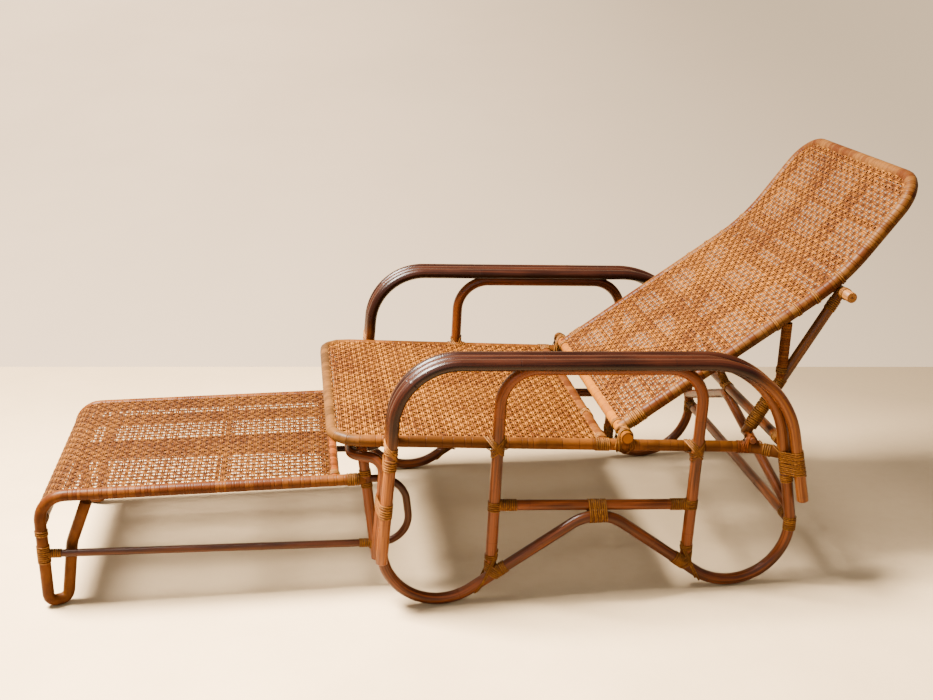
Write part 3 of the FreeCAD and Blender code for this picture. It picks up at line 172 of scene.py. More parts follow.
class StrandSizes(bpy.types.PropertyGroup):
    """Sizes of the flat strands of the lashings and panels."""

    lash_width: size("Lashing width", "Width of a lashing strand", 0.0038)
    lash_thickness: size("Lashing thickness", "Thickness of a lashing strand", 0.0016)
    column_pitch: size("Column pitch", "Distance between pairs of cross strands", 0.0123)
    column_width: size("Column width", "Width of a cross strand", 0.0037)
    row_pitch: size("Row pitch", "Distance between pairs of lengthwise strands", 0.0155)
    row_width: size("Row width", "Width of a lengthwise strand", 0.0049)
    panel_strand: size("Panel strand", "Thickness of a panel's strand", 0.0020)
    wave: size("Wave", "Rise of a strand over those it crosses", 0.0010)


class FinishColours(bpy.types.PropertyGroup):
    """Colours of the finishes."""

    dark: tint("Dark cane", "Stained cane of the armrests", (0.013, 0.0027, 0.0006))
    brown: tint("Brown cane", "Cane of the side frames", (0.074, 0.0172, 0.0019))
    honey: tint("Honey cane", "Light cane of seat and cross members", (0.098, 0.030, 0.0036))
    pale: tint("Pale cane", "Bare and freshly cut cane", (0.155, 0.060, 0.0105))
    strand: tint("Strand", "Strands of the woven panels", (0.128, 0.0460, 0.0036))
    tie: tint("Lashing", "Strands of the lashings", (0.145, 0.056, 0.0095))
    floor: tint("Floor", "Floor below the chair", (0.40, 0.292, 0.168))
    wall: tint("Wall", "Backdrop behind the chair", (0.275, 0.213, 0.142))


class StageSettings(bpy.types.PropertyGroup):
    """Camera, backdrop and light."""

    lens: FloatProperty(name="Lens", description="Focal length of the camera", default=47.92,
                        unit="CAMERA")
    pitch: angle("Pitch", "Camera's angle below the horizon", 18.25)
    heading: angle("Heading", "Camera's turn from straight ahead", 7.70)
    place: FloatVectorProperty(name="Place", description="Camera's place", size=3,
                               default=(-0.347, -2.609, 1.300), subtype="TRANSLATION")
    key: FloatProperty(name="Key", description="Power of the main light", default=1330)
    fill: FloatProperty(name="Fill", description="Power of the front light", default=36)
    sky: FloatProperty(name="Sky", description="Strength of the even light", default=0.62)
    wall_line: size("Wall line", "Distance of the line between floor and backdrop", 1.138)
    ramp: angle("Ramp", "Slope of the backdrop, low enough to see the chair from behind", 15)
    ramp_end: size("Ramp end", "Distance of the backdrop's upright part", 5.6)


def settings():
    scene = bpy.context.scene
    return [getattr(scene, name) for name in GROUPS]


def overload(operation):
    """The plain and the reflected form of an operator."""
    return (lambda self, other: self.math(operation, self, other),
            lambda self, other: self.math(operation, other, self))


class Value:
    """A shader socket that takes part in sums written as Python expressions."""

    __add__, __radd__ = overload("ADD")
    __sub__, __rsub__ = overload("SUBTRACT")
    __mul__, __rmul__ = overload("MULTIPLY")

    def __init__(self, finish, socket):
        self.finish = finish
        self.socket = socket

    def math(self, operation, *terms):
        return self.finish.add("ShaderNodeMath", {"operation": operation},
                               dict(enumerate(terms)))

    def clamped(self, low, high):
        """Rises smoothly from 0 at low to 1 at high."""
        return self.finish.add("ShaderNodeMapRange", {"interpolation_type": "SMOOTHSTEP"},
                               {"Value": self, "From Min": low, "From Max": high})


# Places of the colour sockets on a Mix node: first, second and result
MIX_FIRST, MIX_SECOND, MIX_RESULT = 6, 7, 2


class Finish:
    """A material and the nodes that are added to it."""

    def __init__(self, name):
        self.material = bpy.data.materials.new(name)
        self.material.use_nodes = True
        self.nodes = self.material.node_tree.nodes
        self.links = self.material.node_tree.links
        self.nodes.clear()

    def add(self, kind, node_settings=None, sockets=None, output=0):
        """Adds a node with its settings first, then the values or links of its sockets."""
        node = self.nodes.new(kind)
        for key, value in (node_settings or {}).items():
            setattr(node, key, value)
        for key, value in (sockets or {}).items():
            if isinstance(value, Value):
                self.links.new(value.socket, node.inputs[key])
            else:
                node.inputs[key].default_value = value
        return Value(self, node.outputs[output]) if node.outputs else None

    def attribute(self, name):
        return self.add("ShaderNodeAttribute", {"attribute_name": name}, output="Fac")

    def place(self):
        """Object coordinates as x, y and z."""
        return self.split(self.add("ShaderNodeTexCoord", output="Object"))

    def split(self, vector):
        return [self.add("ShaderNodeSeparateXYZ", None, {0: vector}, axis) for axis in range(3)]

    def noise(self, place, scale, detail=2.0, rough=0.5):
        """Noise at a place given as x, y and z."""
        vector = self.add("ShaderNodeCombineXYZ", None, dict(enumerate(place)))
        return self.add("ShaderNodeTexNoise", None, {
            "Vector": vector, "Scale": scale, "Detail": detail, "Roughness": rough})

    def mix(self, amount, first, second, blend="MIX"):
        """Mixes two colours, each a colour or a link."""
        first, second = (c if isinstance(c, Value) else (*c, 1) for c in (first, second))
        return self.add("ShaderNodeMix", {"data_type": "RGBA", "blend_type": blend},
                        {0: amount, MIX_FIRST: first, MIX_SECOND: second}, MIX_RESULT)

    def layers(self, colour, *layers):
        """Lays colours over a first one, each as its value rises from low to high."""
        for value, low, high, amount, over in layers:
            colour = self.mix(value.clamped(low, high) * amount, colour, over)
        return colour

    def surface(self, colour, roughness, height, depth, **fixed):
        """Closes the material with its bump, shader and output."""
        bump = self.add("ShaderNodeBump", None, {"Height": height, "Distance": depth,
                                                 "Strength": 1.0})
        sockets = {"Base Color": colour, "Roughness": roughness, "Normal": bump}
        sockets.update((key.replace("_", " "), value) for key, value in fixed.items())
        shader = self.add("ShaderNodeBsdfPrincipled", None, sockets)
        self.add("ShaderNodeOutputMaterial", None, {"Surface": shader})
        return self.material


def shade(colour, factor):
    return [c * factor for c in colour]


def along_cane(finish):
    """Length, turn, and the turn's cosine and sine, which meet without a seam."""
    length, turn, _ = finish.split(finish.add("ShaderNodeUVMap", {"uv_map": "along"}))
    angle = turn * (2 * math.pi)
    return length, turn, angle.math("COSINE", angle), angle.math("SINE", angle)


def cane_finish(name, base, light, gloss, fade=None):
    """Lacquered rattan: long streaks, blotches, dark specks, growth rings and pale cut ends.

    fade gives the heights where the cane turns from two lighter colours to its own.
    """
    colours = settings()[2]
    finish = Finish(name)
    length, _, cosine, sine = along_cane(finish)
    tone, ring, cut, pith = map(finish.attribute, ("tone", "ring", "cut", "pith"))
    x, y, z = finish.place()
    streak = finish.noise((cosine, sine, length * 2.2 + tone * 9.0), 3.2, 4.0)
    grain = finish.noise((cosine * 2.4, sine * 2.4, length * 1.6), 9.0, 3.0)
    speck = finish.noise((cosine * 1.5 + tone * 5.0, sine * 1.5, length * 22.0), 4.5, 3.0, 0.6)
    blotch = finish.noise((x + tone * 3.0, y, z), 7.0, 3.0)
    lightness = streak * 2.4 + blotch * 1.6 + tone * 0.3 - 1.72
    colour = finish.mix(lightness.clamped(0.0, 1.0), base, light)
    if fade:
        low, high, deep, faded = fade
        height = z + blotch * 0.05 - x.clamped(0.44, 0.6) * 0.13
        warm = finish.mix(streak.clamped(0.36, 0.62), deep, faded)
        colour = finish.mix(height.clamped(low, high), warm, colour)
    dusk = finish.mix(1.0, colour, (0.42, 0.34, 0.30), "MULTIPLY")
    colour = finish.layers(colour, (grain, 0.52, 0.78, 0.5, dusk),
                           (speck, 0.63, 0.72, 0.85, dusk), (ring, 0.4, 1.0, 0.6, dusk))
    end = finish.mix(pith.clamped(0.2, 0.9), colours.pale, shade(colours.brown, 0.5))
    colour = finish.mix(cut, colour, end)
    rough = blotch * 0.2 + gloss + cut * 0.3
    bump = grain * 0.3 + streak * 0.5 - ring.clamped(0.3, 1.0) * 0.4
    return finish.surface(colour, rough, bump, 0.0006, Specular_IOR_Level=0.15)


def wound_finish(name, base, light, dark, front=None):
    """A cane wound with flat strip: each turn has its own tone, with thin dark seams.

    front is the tone of a painted highlight on a cane's run across the front, where the light
    falls on it.
    """
    finish = Finish(name)
    length, _, cosine, sine = along_cane(finish)
    tone, seam, cut = map(finish.attribute, ("tone", "ring", "cut"))
    x, y, z = finish.place()
    blotch = finish.noise((x, y, z), 6.0, 3.0)
    fine = finish.noise((x, y, z), 60.0, 3.0)
    fibre = finish.noise((cosine * 1.5, sine * 1.5, length * 320.0), 2.0, 3.0)
    lightness = tone * 0.7 + blotch * 2.2 + fine * 1.2 - 1.6
    colour = finish.mix(lightness.clamped(0.0, 1.0), base, light)
    # Painted highlight: the run across the front, which faces the light, is lighter
    if front:
        painted_lit_front = finish.mix(lightness.clamped(0.0, 0.9), front, shade(front, 2.4))
        colour = finish.mix((x + fine * 0.05).clamped(-0.27, -0.16), painted_lit_front, colour)
    colour = finish.layers(colour, (fibre, 0.5, 0.75, 0.22, dark),
                           (seam, 0.1, 1.0, 0.85, dark))
    colour = finish.mix(cut, colour, light)
    return finish.surface(colour, blotch * 0.2 + 0.32, fibre * 0.35 - seam * 0.5, 0.0005,
                          Specular_IOR_Level=0.05)


def strand_finish(name, base, light, dark):
    """Flat split cane: each strand has its own tone, with fine fibres and dark patches, painted
    highlight dots, painted shade along its edges, and painted shade where it passes under others
    or lies as a splint under the weave.
    """
    finish = Finish(name)
    length, across, edge, _ = along_cane(finish)
    tone, under = map(finish.attribute, ("tone", "ring"))
    # Painted shade along a strand's edges, which darkens the gaps between strands
    edge = edge * edge
    x, y, z = finish.place()
    blotch = finish.noise((x, y, z), 6.0, 4.0, 0.6)
    patch = finish.noise((x + tone * 0.4, y, z), 42.0, 3.0, 0.6)
    # Painted highlight: small bright dots on the strands
    painted_glints = finish.noise((x, y + tone * 0.3, z), 170.0, 2.0)
    fibre = finish.noise((length * 14.0, across * 9.0, tone * 20.0), 3.0, 3.0)
    lightness = tone * 0.45 + blotch * 1.2 + patch * 1.4 - 1.1
    colour = finish.mix(lightness.clamped(0.0, 1.0), base, light)
    colour = finish.layers(colour, (painted_glints, 0.5, 0.68, 0.6, shade(light, 1.5)),
                           (fibre, 0.5, 0.8, 0.35, dark), (patch, 0.55, 0.74, 0.55, dark),
                           (edge, 0.3, 0.9, 0.95, dark))
    # Painted shade where a strand passes under others, and on the splints under the weave
    colour = finish.mix(under, colour, shade(dark, 0.45))
    return finish.surface(colour, fibre * 0.2 + 0.38, fibre * 0.6 + painted_glints * 0.4, 0.0005,
                          Specular_IOR_Level=0.05)


def make_finishes():
    colours = settings()[2]

    def tones(name):
        return lambda factor: shade(getattr(colours, name), factor)

    dark, brown, honey, pale, strand, tie = map(
        tones, ("dark", "brown", "honey", "pale", "strand", "tie"))
    seam = brown(0.25)
    for make, *looks in (
            (cane_finish, "stained cane", dark(0.5), dark(1.5), 0.2,
             (0.33, 0.44, brown(1.0), honey(1.6))),
            (cane_finish, "brown cane", brown(0.45), brown(1.6), 0.22),
            (cane_finish, "deep brown cane", brown(0.2), brown(0.65), 0.22),
            (cane_finish, "honey cane", honey(0.45), honey(1.3), 0.26),
            (cane_finish, "pale cane", pale(0.6), pale(1.25), 0.30),
            (wound_finish, "wound cane", brown(0.5), pale(0.5), seam),
            (wound_finish, "pale wound cane", honey(1.2), (0.172, 0.053, 0.0008), seam),
            # The seat rail's run across the front gets a painted highlight
            (wound_finish, "wound seat cane", honey(0.45), honey(0.95), seam, pale(0.18)),
            (wound_finish, "brown wound cane", brown(0.9), honey(1.1), seam),
            (wound_finish, "footrest wound cane", brown(0.45), honey(0.75), seam),
            (wound_finish, "dark wound cane", brown(0.45), brown(1.5), seam),
            (strand_finish, "woven strand", brown(0.65), strand(2.0), brown(0.45)),
            (strand_finish, "deep woven strand", brown(0.4), strand(1.15), brown(0.35)),
            (strand_finish, "lashing strand", tie(0.6), tie(1.2), seam),
            (strand_finish, "brown lashing strand", tie(0.42), tie(0.85), seam),
            (strand_finish, "dark lashing strand", brown(0.6), brown(1.7), seam)):
        make(*looks)


def corner_points(corners, side=1):
    """Corners in metres with their bends, which are nought where none is given."""
    return [(Vector((x, y * side, z)) * MM, sum(bend) * MM) for x, y, z, *bend in corners]


class Route:
    """Path of straight runs joined by tangent arcs, read by the length along it."""

    def __init__(self, corners):
        self.runs = []
        last = corners[0][0]
        for before, (point, bend), after in zip(corners, corners[1:], corners[2:]):
            back = (before[0] - point).normalized()
            ahead = (after[0] - point).normalized()
            half = back.angle(ahead) / 2
            start = point + back * (bend / math.tan(half))
            end = point + ahead * (bend / math.tan(half))
            centre = point + (back + ahead).normalized() * (bend / math.sin(half))
            axis = (-back).cross(ahead).normalized()
            self._line(last, start)
            self.runs.append(("arc", centre, start - centre, axis, math.pi - 2 * half, bend))
            last = end
        self._line(last, corners[-1][0])
        self.lengths = [r[4] * r[5] if r[0] == "arc" else r[3] for r in self.runs]
        self.length = sum(self.lengths)

    def _line(self, start, end):
        way = end - start
        if way.length > 1e-6:
            self.runs.append(("line", start, way.normalized(), way.length))

    def at(self, along):
        """Point and direction at a length from the start."""
        for run, length in zip(self.runs, self.lengths):
            if along <= length or run is self.runs[-1]:
                break
            along -= length
        if run[0] == "line":
            return run[1] + run[2] * along, run[2]
        turn = Quaternion(run[3], along / run[5])
        arm = turn @ run[2]
        return run[1] + arm, run[3].cross(arm).normalized()

    def steps(self, on_line, on_arc):
        """Lengths that divide the runs, closer on the arcs."""
        marks = [0.0]
        start = 0.0
        for run, length in zip(self.runs, self.lengths):
            step = on_line if run[0] == "line" else on_arc
            count = max(1, math.ceil(length / step))
            marks.extend(start + length * n / count for n in range(1, count + 1))
            start += length
        return marks


def rolled(bm, stations, section, closed=False):
    """Rolls a flat grid into a tube.

    Each station is (point, side way, up way, spread, length, values) and the section gives
    the cross shape round the path as shares of the spread.
    """
    rows = len(stations) if closed else len(stations) - 1
    along = bm.loops.layers.uv.get("along") or bm.loops.layers.uv.new("along")
    layers = {key: bm.verts.layers.float.get(key) or bm.verts.layers.float.new(key)
              for key in ("tone", "ring", "cut", "pith")}
    made = bmesh.ops.create_grid(bm, x_segments=rows, y_segments=len(section), size=1,
                                 calc_uvs=False)
    spots = {}
    for vert in made["verts"]:
        row = round((vert.co.x + 1) / 2 * rows)
        column = round((vert.co.y + 1) / 2 * len(section))
        spots[vert] = (row, column)
    for vert, (row, column) in spots.items():
        point, side_way, up_way, spread, _, values = stations[row % len(stations)]
        wide, high = section[column % len(section)]
        vert.co = point + side_way * (wide * spread[0]) + up_way * (high * spread[1])
        for key, value in values.items():
            vert[layers[key]] = value
    for face in {f for v in made["verts"] for f in v.link_faces}:
        for loop in face.loops:
            row, column = spots[loop.vert]
            length = stations[min(row, len(stations) - 1)][4]
            loop[along].uv = (length, column / len(section))
    return made["verts"]


def round_section(sides):
    return [(math.cos(2 * math.pi * n / sides), math.sin(2 * math.pi * n / sides))
            for n in range(sides)]


FLAT_SECTION = ((1.0, 0.0), (0.6, 0.9), (-0.6, 0.9), (-1.0, 0.0), (-0.6, -0.9), (0.6, -0.9))
PANEL_SECTION = ((0.9, 0.6), (-0.9, 0.6), (-0.9, -0.6), (0.9, -0.6))

# Section lengths of a bare cane, and a growth ring as (shift, swell, darkness)
ON_LINE, ON_ARC = 0.045, 0.007
GROWTH_RING = ((-0.007, 1.0, 0.0), (-0.0018, 1.018, 0.2), (-0.0004, 1.02, 0.8),
               (0.0006, 1.016, 0.7), (0.0022, 1.012, 0.1), (0.009, 1.0, 0.0))
SEAM = 0.0008
WELD = 1e-6


def turned_frames(points):
    """Side and up directions that turn as little as they can along a path."""
    frames = []
    way = points[0][1]
    up = UP if abs(way.z) < 0.9 else ACROSS
    side = way.cross(up).normalized()
    for _, next_way in points:
        side = way.rotation_difference(next_way) @ side
        way = next_way
        frames.append((side, side.cross(way).normalized()))
    return frames


def add_cane(bm, corners, diameter, seed, winding=None, ends=True, wound=None, smooth=False,
             pale_ends=True):
    """Adds one cane to a mesh, with growth rings or the turns of a winding.

    wound is the length that the winding covers, where it isn't the whole cane.
    """
    sizes = settings()[0]
    draw = random.Random(seed)
    route = Route(corners)
    radius = diameter / 2
    tone = draw.random()
    bare = {mark: (1.0, 0.0, tone) for mark in route.steps(ON_LINE, ON_ARC)}
    if winding is None:
        marks = bare
        mark = sizes.joint_pitch * (0.25 + 0.6 * draw.random())
        while mark < route.length - 0.01 and not smooth:
            for shift, swell, ring in GROWTH_RING:
                marks[mark + shift] = (swell, ring, tone)
            mark += sizes.joint_pitch * (0.75 + 0.5 * draw.random())
    else:
        marks = {}
        mark = 0.0
        wound = wound or route.length
        while mark < wound:
            turn_tone = draw.random()
            width = winding * (0.45 + 1.1 * draw.random())
            deep = 0.972 if draw.random() < 0.2 else 0.985
            marks[mark] = (deep, 1.0, turn_tone)
            for inset, ring in ((SEAM, 0.3), (2.4 * SEAM, 0.0)):
                marks[mark + inset] = (1.0, ring, turn_tone)
                marks[mark + width - inset] = (1.0, ring, turn_tone)
            mark += width
        if wound < route.length:
            marks.update((spot, look) for spot, look in bare.items() if spot > mark)
        else:
            marks[route.length] = (deep, 1.0, tone)
    lengths = [mark for mark in sorted(marks) if 0 <= mark <= route.length]
    points = [route.at(mark) for mark in lengths]
    stations = []
    for mark, (point, _), (side, up) in zip(lengths, points, turned_frames(points)):
        swell, ring, own_tone = marks[mark]
        if winding is None and not smooth:
            swell *= 1 + 0.012 * noise.noise(Vector((mark * 6, seed * 7.3, 0)))
        stations.append((point, side, up, (radius * swell, radius * swell), mark,
                         {"tone": own_tone, "ring": ring}))
    verts = rolled(bm, stations, round_section(sizes.sides))
    bmesh.ops.remove_doubles(bm, verts=verts, dist=WELD)
    if ends:
        close_ends(bm, [v for v in verts if v.is_valid], radius, pale_ends)


def close_ends(bm, verts, radius, pale):
    """Caps a cane's open ends with a small chamfer, a pale face and a brown heart."""
    edges = {e for v in verts for e in v.link_edges if e.is_boundary}
    caps = bmesh.ops.holes_fill(bm, edges=list(edges), sides=0)["faces"]
    cut, pith = (bm.verts.layers.float.get(key) for key in ("cut", "pith"))
    for share, depth in ((0.10, 0.0010), (0.10, 0.0)):
        bmesh.ops.inset_individual(bm, faces=caps, thickness=radius * share, depth=depth)
    for face in caps:
        for vert in face.verts:
            vert[cut] = float(pale)
    bmesh.ops.inset_individual(bm, faces=caps, thickness=radius * 0.35, depth=0.0)
    for vert in bmesh.ops.poke(bm, faces=caps)["verts"]:
        vert[cut] = float(pale)
        vert[pith] = 1.0


def hull_loop(canes, centre, axis, count, proud):
    """Points of a taut loop around canes, in the plane through centre across the axis.

    Each cane is (point, way, radius). The loop stands proud of them by a strand's half.
    """
    first = (axis.cross(UP) if abs(axis.z) < 0.9 else axis.cross(ACROSS)).normalized()
    second = axis.cross(first).normalized()
    shapes = []
    for point, way, radius in canes:
        slope = way.dot(axis)
        spot = point + way * ((centre - point).dot(axis) / slope)
        lean = way - axis * slope
        major = lean.normalized() if lean.length > 1e-4 else first
        minor = axis.cross(major)
        long = (radius + proud) / abs(slope)
        shapes.append((spot, major, minor, long, radius + proud))
    loop = []
    for number in range(count):
        angle = 2 * math.pi * number / count
        out = first * math.cos(angle) + second * math.sin(angle)
        touches = []
        for spot, major, minor, long, short in shapes:
            a = long * long * out.dot(major)
            b = short * short * out.dot(minor)
            reach = math.sqrt(a * out.dot(major) + b * out.dot(minor))
            touches.append(spot + (major * a + minor * b) / reach)
        loop.append((max(touches, key=out.dot), out))
    return loop


def lash(bm, side, canes, centre, axis, turns, pitch, seed, strand=None):
    """Adds the turns of a lashing around some canes, spread along the axis.

    Canes are (point, way, radius), all in millimetres. strand is another width and thickness
    in metres.
    """
    strands = settings()[1]
    draw = random.Random(seed)
    wide, thick = strand or (strands.lash_width, strands.lash_thickness)
    flip = Vector((1, side, 1))
    held = [(Vector(p) * flip * MM, (Vector(w) * flip).normalized(), r * MM)
            for p, w, r in canes]
    centre = Vector(centre) * flip * MM
    axis = (Vector(axis) * flip).normalized()
    pitch *= MM
    for number in range(turns):
        own_axis = axis + Vector([draw.uniform(-0.035, 0.035) for _ in range(3)])
        own_axis.normalize()
        spot = centre + axis * ((number - (turns - 1) / 2) * pitch)
        loop = hull_loop(held, spot, own_axis, LASH_POINTS, thick * 0.5)
        tone = draw.random()
        length = 0.0
        stations = []
        for index, (point, out) in enumerate(loop):
            stations.append((point, own_axis, out, (wide / 2, thick / 2), length,
                             {"tone": tone}))
            length += (loop[(index + 1) % len(loop)][0] - point).length
        rolled(bm, stations, FLAT_SECTION, True)


def finish_piece(kind, name, bm, body, finish):
    """Makes the object of a finished mesh, hides the part of the same name and attaches it to the
    body that it rides on.
    """
    bmesh.ops.remove_doubles(bm, verts=bm.verts, dist=WELD)
    bmesh.ops.recalc_face_normals(bm, faces=bm.faces)
    for face in bm.faces:
        face.smooth = True
    mesh = bpy.data.meshes.new(kind + name)
    bm.to_mesh(mesh)
    bm.free()
    mesh.materials.append(bpy.data.materials[finish])
    piece = placed(kind + name, mesh)
    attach(piece, body)
    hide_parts(name)


def make_canes(body, sides, *rows):
    """Makes the canes of some rows of the cut list on each side."""
    sizes = settings()[0]
    for suffix, side in sides:
        for name, diameter, finish, slot, corners, *turns in rows:
            name += suffix
            if turns and turns[0]:
                turns[0] *= sizes.winding
            bm = bmesh.new()
            add_cane(bm, corner_points(corners, side), getattr(sizes, diameter),
                     sum(map(ord, name)), *turns)
            finish_piece("rattan_", name, bm, body, finish)


def make_rods(name, body, diameter, rods, finish="honey cane", first_seed=0, pale_ends=True):
    """Makes one piece of plain rods, each given by its corners and side."""
    bm = bmesh.new()
    for number, (corners, side) in enumerate(rods):
        add_cane(bm, corner_points(corners, side), diameter, first_seed + number, smooth=True,
                 pale_ends=pale_ends)
    finish_piece("rattan_", name, bm, body, finish)


class MakeFinishes(bpy.types.Operator):
    """Makes the materials of the canes, strands and lashings"""

    bl_idname = "long_chair.finishes"
    bl_label = "Finishes"

    def execute(self, context):
        make_finishes()
        return {"FINISHED"}


class MakeArms(bpy.types.Operator):
    """Makes the three bent canes of each armrest"""

    bl_idname = "long_chair.arms"
    bl_label = "Armrests"

    def execute(self, context):
        for row in ARM_CANES:
            make_canes("main_frame", SIDES, row)
        return {"FINISHED"}


class MakeSideFrames(bpy.types.Operator):
    """Makes the runners, hoops and side stretchers"""

    bl_idname = "long_chair.side_frames"
    bl_label = "Side frames"

    def execute(self, context):
        make_canes("main_frame", SIDES, *SIDE_CANES)
        return {"FINISHED"}


class MakeSeatFrame(bpy.types.Operator):
    """Makes the seat rail, its rear rail, the front bow, the guides and the rear canes"""

    bl_idname = "long_chair.seat_frame"
    bl_label = "Seat frame"

    def execute(self, context):
        make_canes("main_frame", ALONE, *SEAT_CANES)
        make_canes("main_frame", SIDES, GUIDE)
        make_canes("main_frame", ALONE, *REAR_CANES)
        return {"FINISHED"}


class MakeBackFrame(bpy.types.Operator):
    """Makes the hinge pole, the wound back frame and the back's battens"""

    bl_idname = "long_chair.back_frame"
    bl_label = "Back frame"

    def execute(self, context):
        make_canes("backrest", ALONE, *BACK_CANES)
        thin = settings()[0].batten
        make_rods("back_long_battens", "backrest", thin,
                  [(BACK_LONG_BATTEN, side) for _, side in SIDES])
        make_rods("back_cross_battens", "backrest", thin,
                  [(mirrored((x, -283, z)), 1) for x, z in BACK_CROSS_BATTENS], first_seed=10)
        return {"FINISHED"}


class MakeProp(bpy.types.Operator):
    """Makes the prop's legs, struts, dowel and pegs"""

    bl_idname = "long_chair.prop"
    bl_label = "Prop"

    def execute(self, context):
        make_canes("prop", ALONE, PROP_DOWEL)
        make_canes("prop", SIDES, *PROP_CANES)
        make_rods("prop_foot_pegs", "prop", settings()[0].peg,
                  [(PROP_PEG, side) for _, side in SIDES], "brown cane", pale_ends=False)
        return {"FINISHED"}


class MakeFootrest(bpy.types.Operator):
    """Makes the canes of the pull-out footrest"""

    bl_idname = "long_chair.footrest"
    bl_label = "Footrest"

    def execute(self, context):
        make_canes("footrest", SIDES, *FOOTREST_SIDES)
        make_canes("footrest", ALONE, *FOOTREST_CANES)
        make_rods("footrest_battens", "footrest", settings()[0].batten,
                  [(corners, 1) for corners in FOOTREST_BATTENS])
        return {"FINISHED"}


def woven_panel(name, body, route, half_width, corner, seed, bands, face=1,
                finish="woven strand"):
    """Weaves a panel over a surface.

    route gives the surface's middle line in the XZ plane by length. Lengthwise strands
    follow it in pairs. corner is the frame's (end of the route, bend), which narrows the
    open width. Each band is a layer of splints under the weave, painted dark as shade seen
    through the holes: (first length, last length, first y, last y, whether the splints run
    lengthwise).
    """
    strands = settings()[1]
    draw = random.Random(seed)
    bm = bmesh.new()
    length = route.length
    columns = int(length / strands.column_pitch)
    rows = int(2 * half_width / strands.row_pitch)
    column_pitch = length / columns
    row_pitch = 2 * half_width / rows
    rise = strands.wave
    thick = strands.panel_strand / 2

    def extent(along):
        """Half width that is open at a length."""
        reach = half_width - OPEN_EDGE
        end, bend = corner
        rest = abs(end - along)
        if rest < bend:
            reach -= bend - math.sqrt(bend ** 2 - (bend - rest) ** 2)
        return reach

    def strand(marks, wide, tone, lengthwise):
        """Adds a strand through marks of (along, y, lift, swell, painted shade, map's length)."""
        stations = []
        for along, y, lift, swell, dark, length in marks:
            point, way = route.at(along)
            up = ACROSS.cross(-way) * face
            stations.append((point + up * lift + ACROSS * y, ACROSS if lengthwise else way, up,
                             (wide * swell, thick), length, {"tone": tone, "ring": dark}))
        if len(stations) > 2:
            rolled(bm, stations, PANEL_SECTION)

    for column in range(columns):
        middle = (column + 0.5) * column_pitch + draw.uniform(-1, 1) * column_pitch * 0.05
        for offset in (-0.54, 0.54):
            along = middle + offset * strands.column_width
            reach = extent(along)
            tone = draw.random()
            wide = strands.column_width * draw.uniform(0.85, 1.1) / 2
            marks = []
            for step in range(2 * rows + 1):
                y = -half_width + step * row_pitch / 2
                if abs(y) > reach:
                    if abs(y) - reach > row_pitch / 2:
                        continue
                    y = math.copysign(reach, y)
                over = math.cos(math.pi * (step / 2 + 0.5 + column))
                sway = 0.05 * column_pitch * noise.noise(Vector((y * 30, along * 300, seed)))
                # Where the strand dips under the crossing strands it gets painted shade
                marks.append((along + sway, y, 0.3 * rise + 0.8 * rise * over,
                              1 + 0.12 * over, 0.46 - 0.46 * over, y))
            strand(marks, wide, tone, False)
    for row in range(rows):
        for offset in (-0.5, 0.5):
            y = (row + 0.5) * row_pitch - half_width + offset * strands.row_width * 1.1
            y += draw.uniform(-1, 1) * row_pitch * 0.03
            tone = draw.random()
            marks = []
            for step in range(2 * columns + 1):
                along = step * column_pitch / 2
                if extent(along) >= abs(y):
                    over = math.cos(math.pi * (step / 2 - 0.5 + row + 1))
                    sway = 0.05 * row_pitch * noise.noise(Vector((along * 30, row * 5.1, seed)))
                    # Where the strand dips under the crossing strands it gets painted shade
                    marks.append((along, y + sway, (over - 0.3) * rise, 1, 0.42 - 0.42 * over,
                                  along))
            strand(marks, strands.row_width / 2, tone, True)
    for first, last, low, high, lengthwise in bands:
        span = high - low if lengthwise else last - first
        count = max(1, round(span / SPLINT_PITCH))
        for number in range(count):
            middle = (number + 0.5) / count * span
            wide = span / count * draw.uniform(0.40, 0.47)
            tone = draw.random()
            lift = -2.3 * rise - 0.35 * rise * (number % 2)
            marks = []
            for step in range(SPLINT_STEPS + 1):
                share = step / SPLINT_STEPS
                if lengthwise:
                    along, y = first + (last - first) * share, low + middle
                else:
                    along, y = first + middle, low + (high - low) * share
                if abs(y) <= extent(along):
                    # The splints are painted dark, as shade under the weave
                    marks.append((along, y, lift, 1, 0.82 + 0.18 * tone, along + y))
            strand(marks, wide, tone, lengthwise)
    finish_piece("rattan_", name, bm, body, finish)


def edge_bands(length, half, wide):
    """Splints under the weave along a panel's two sides."""
    return [(0.0, length, -half, wide - half, True), (0.0, length, half - wide, half, True)]


def cross_bands(half, *runs):
    """Splints across a panel, each run given by its first and last length."""
    return [(first, last, -half, half, False) for first, last in runs]


class WeaveSeat(bpy.types.Operator):
    """Weaves the seat panel"""

    bl_idname = "long_chair.seat_panel"
    bl_label = "Seat panel"

    def execute(self, context):
        half, edge, lift = 314 * MM, 34 * MM, Vector((0, 0, 8.5 * MM))
        route = Route([(Vector((x, 0, z)) * MM + lift, 0) for x, z in ((-304, 360),
                                                                       (245, 320.6))])
        bands = edge_bands(route.length, half, edge)
        bands += cross_bands(half, (12 * MM, 98 * MM), (259 * MM, 281 * MM),
                             (394 * MM, 416 * MM),
                             (route.length - 50 * MM, route.length - 12 * MM))
        # A layer of dark splints under the whole seat: painted shade that darkens its holes
        bands.append((30 * MM, route.length - 30 * MM, edge - half, half - edge, True))
        woven_panel("seat_weave", "main_frame", route, half, (0, 55 * MM), 3, bands)
        return {"FINISHED"}


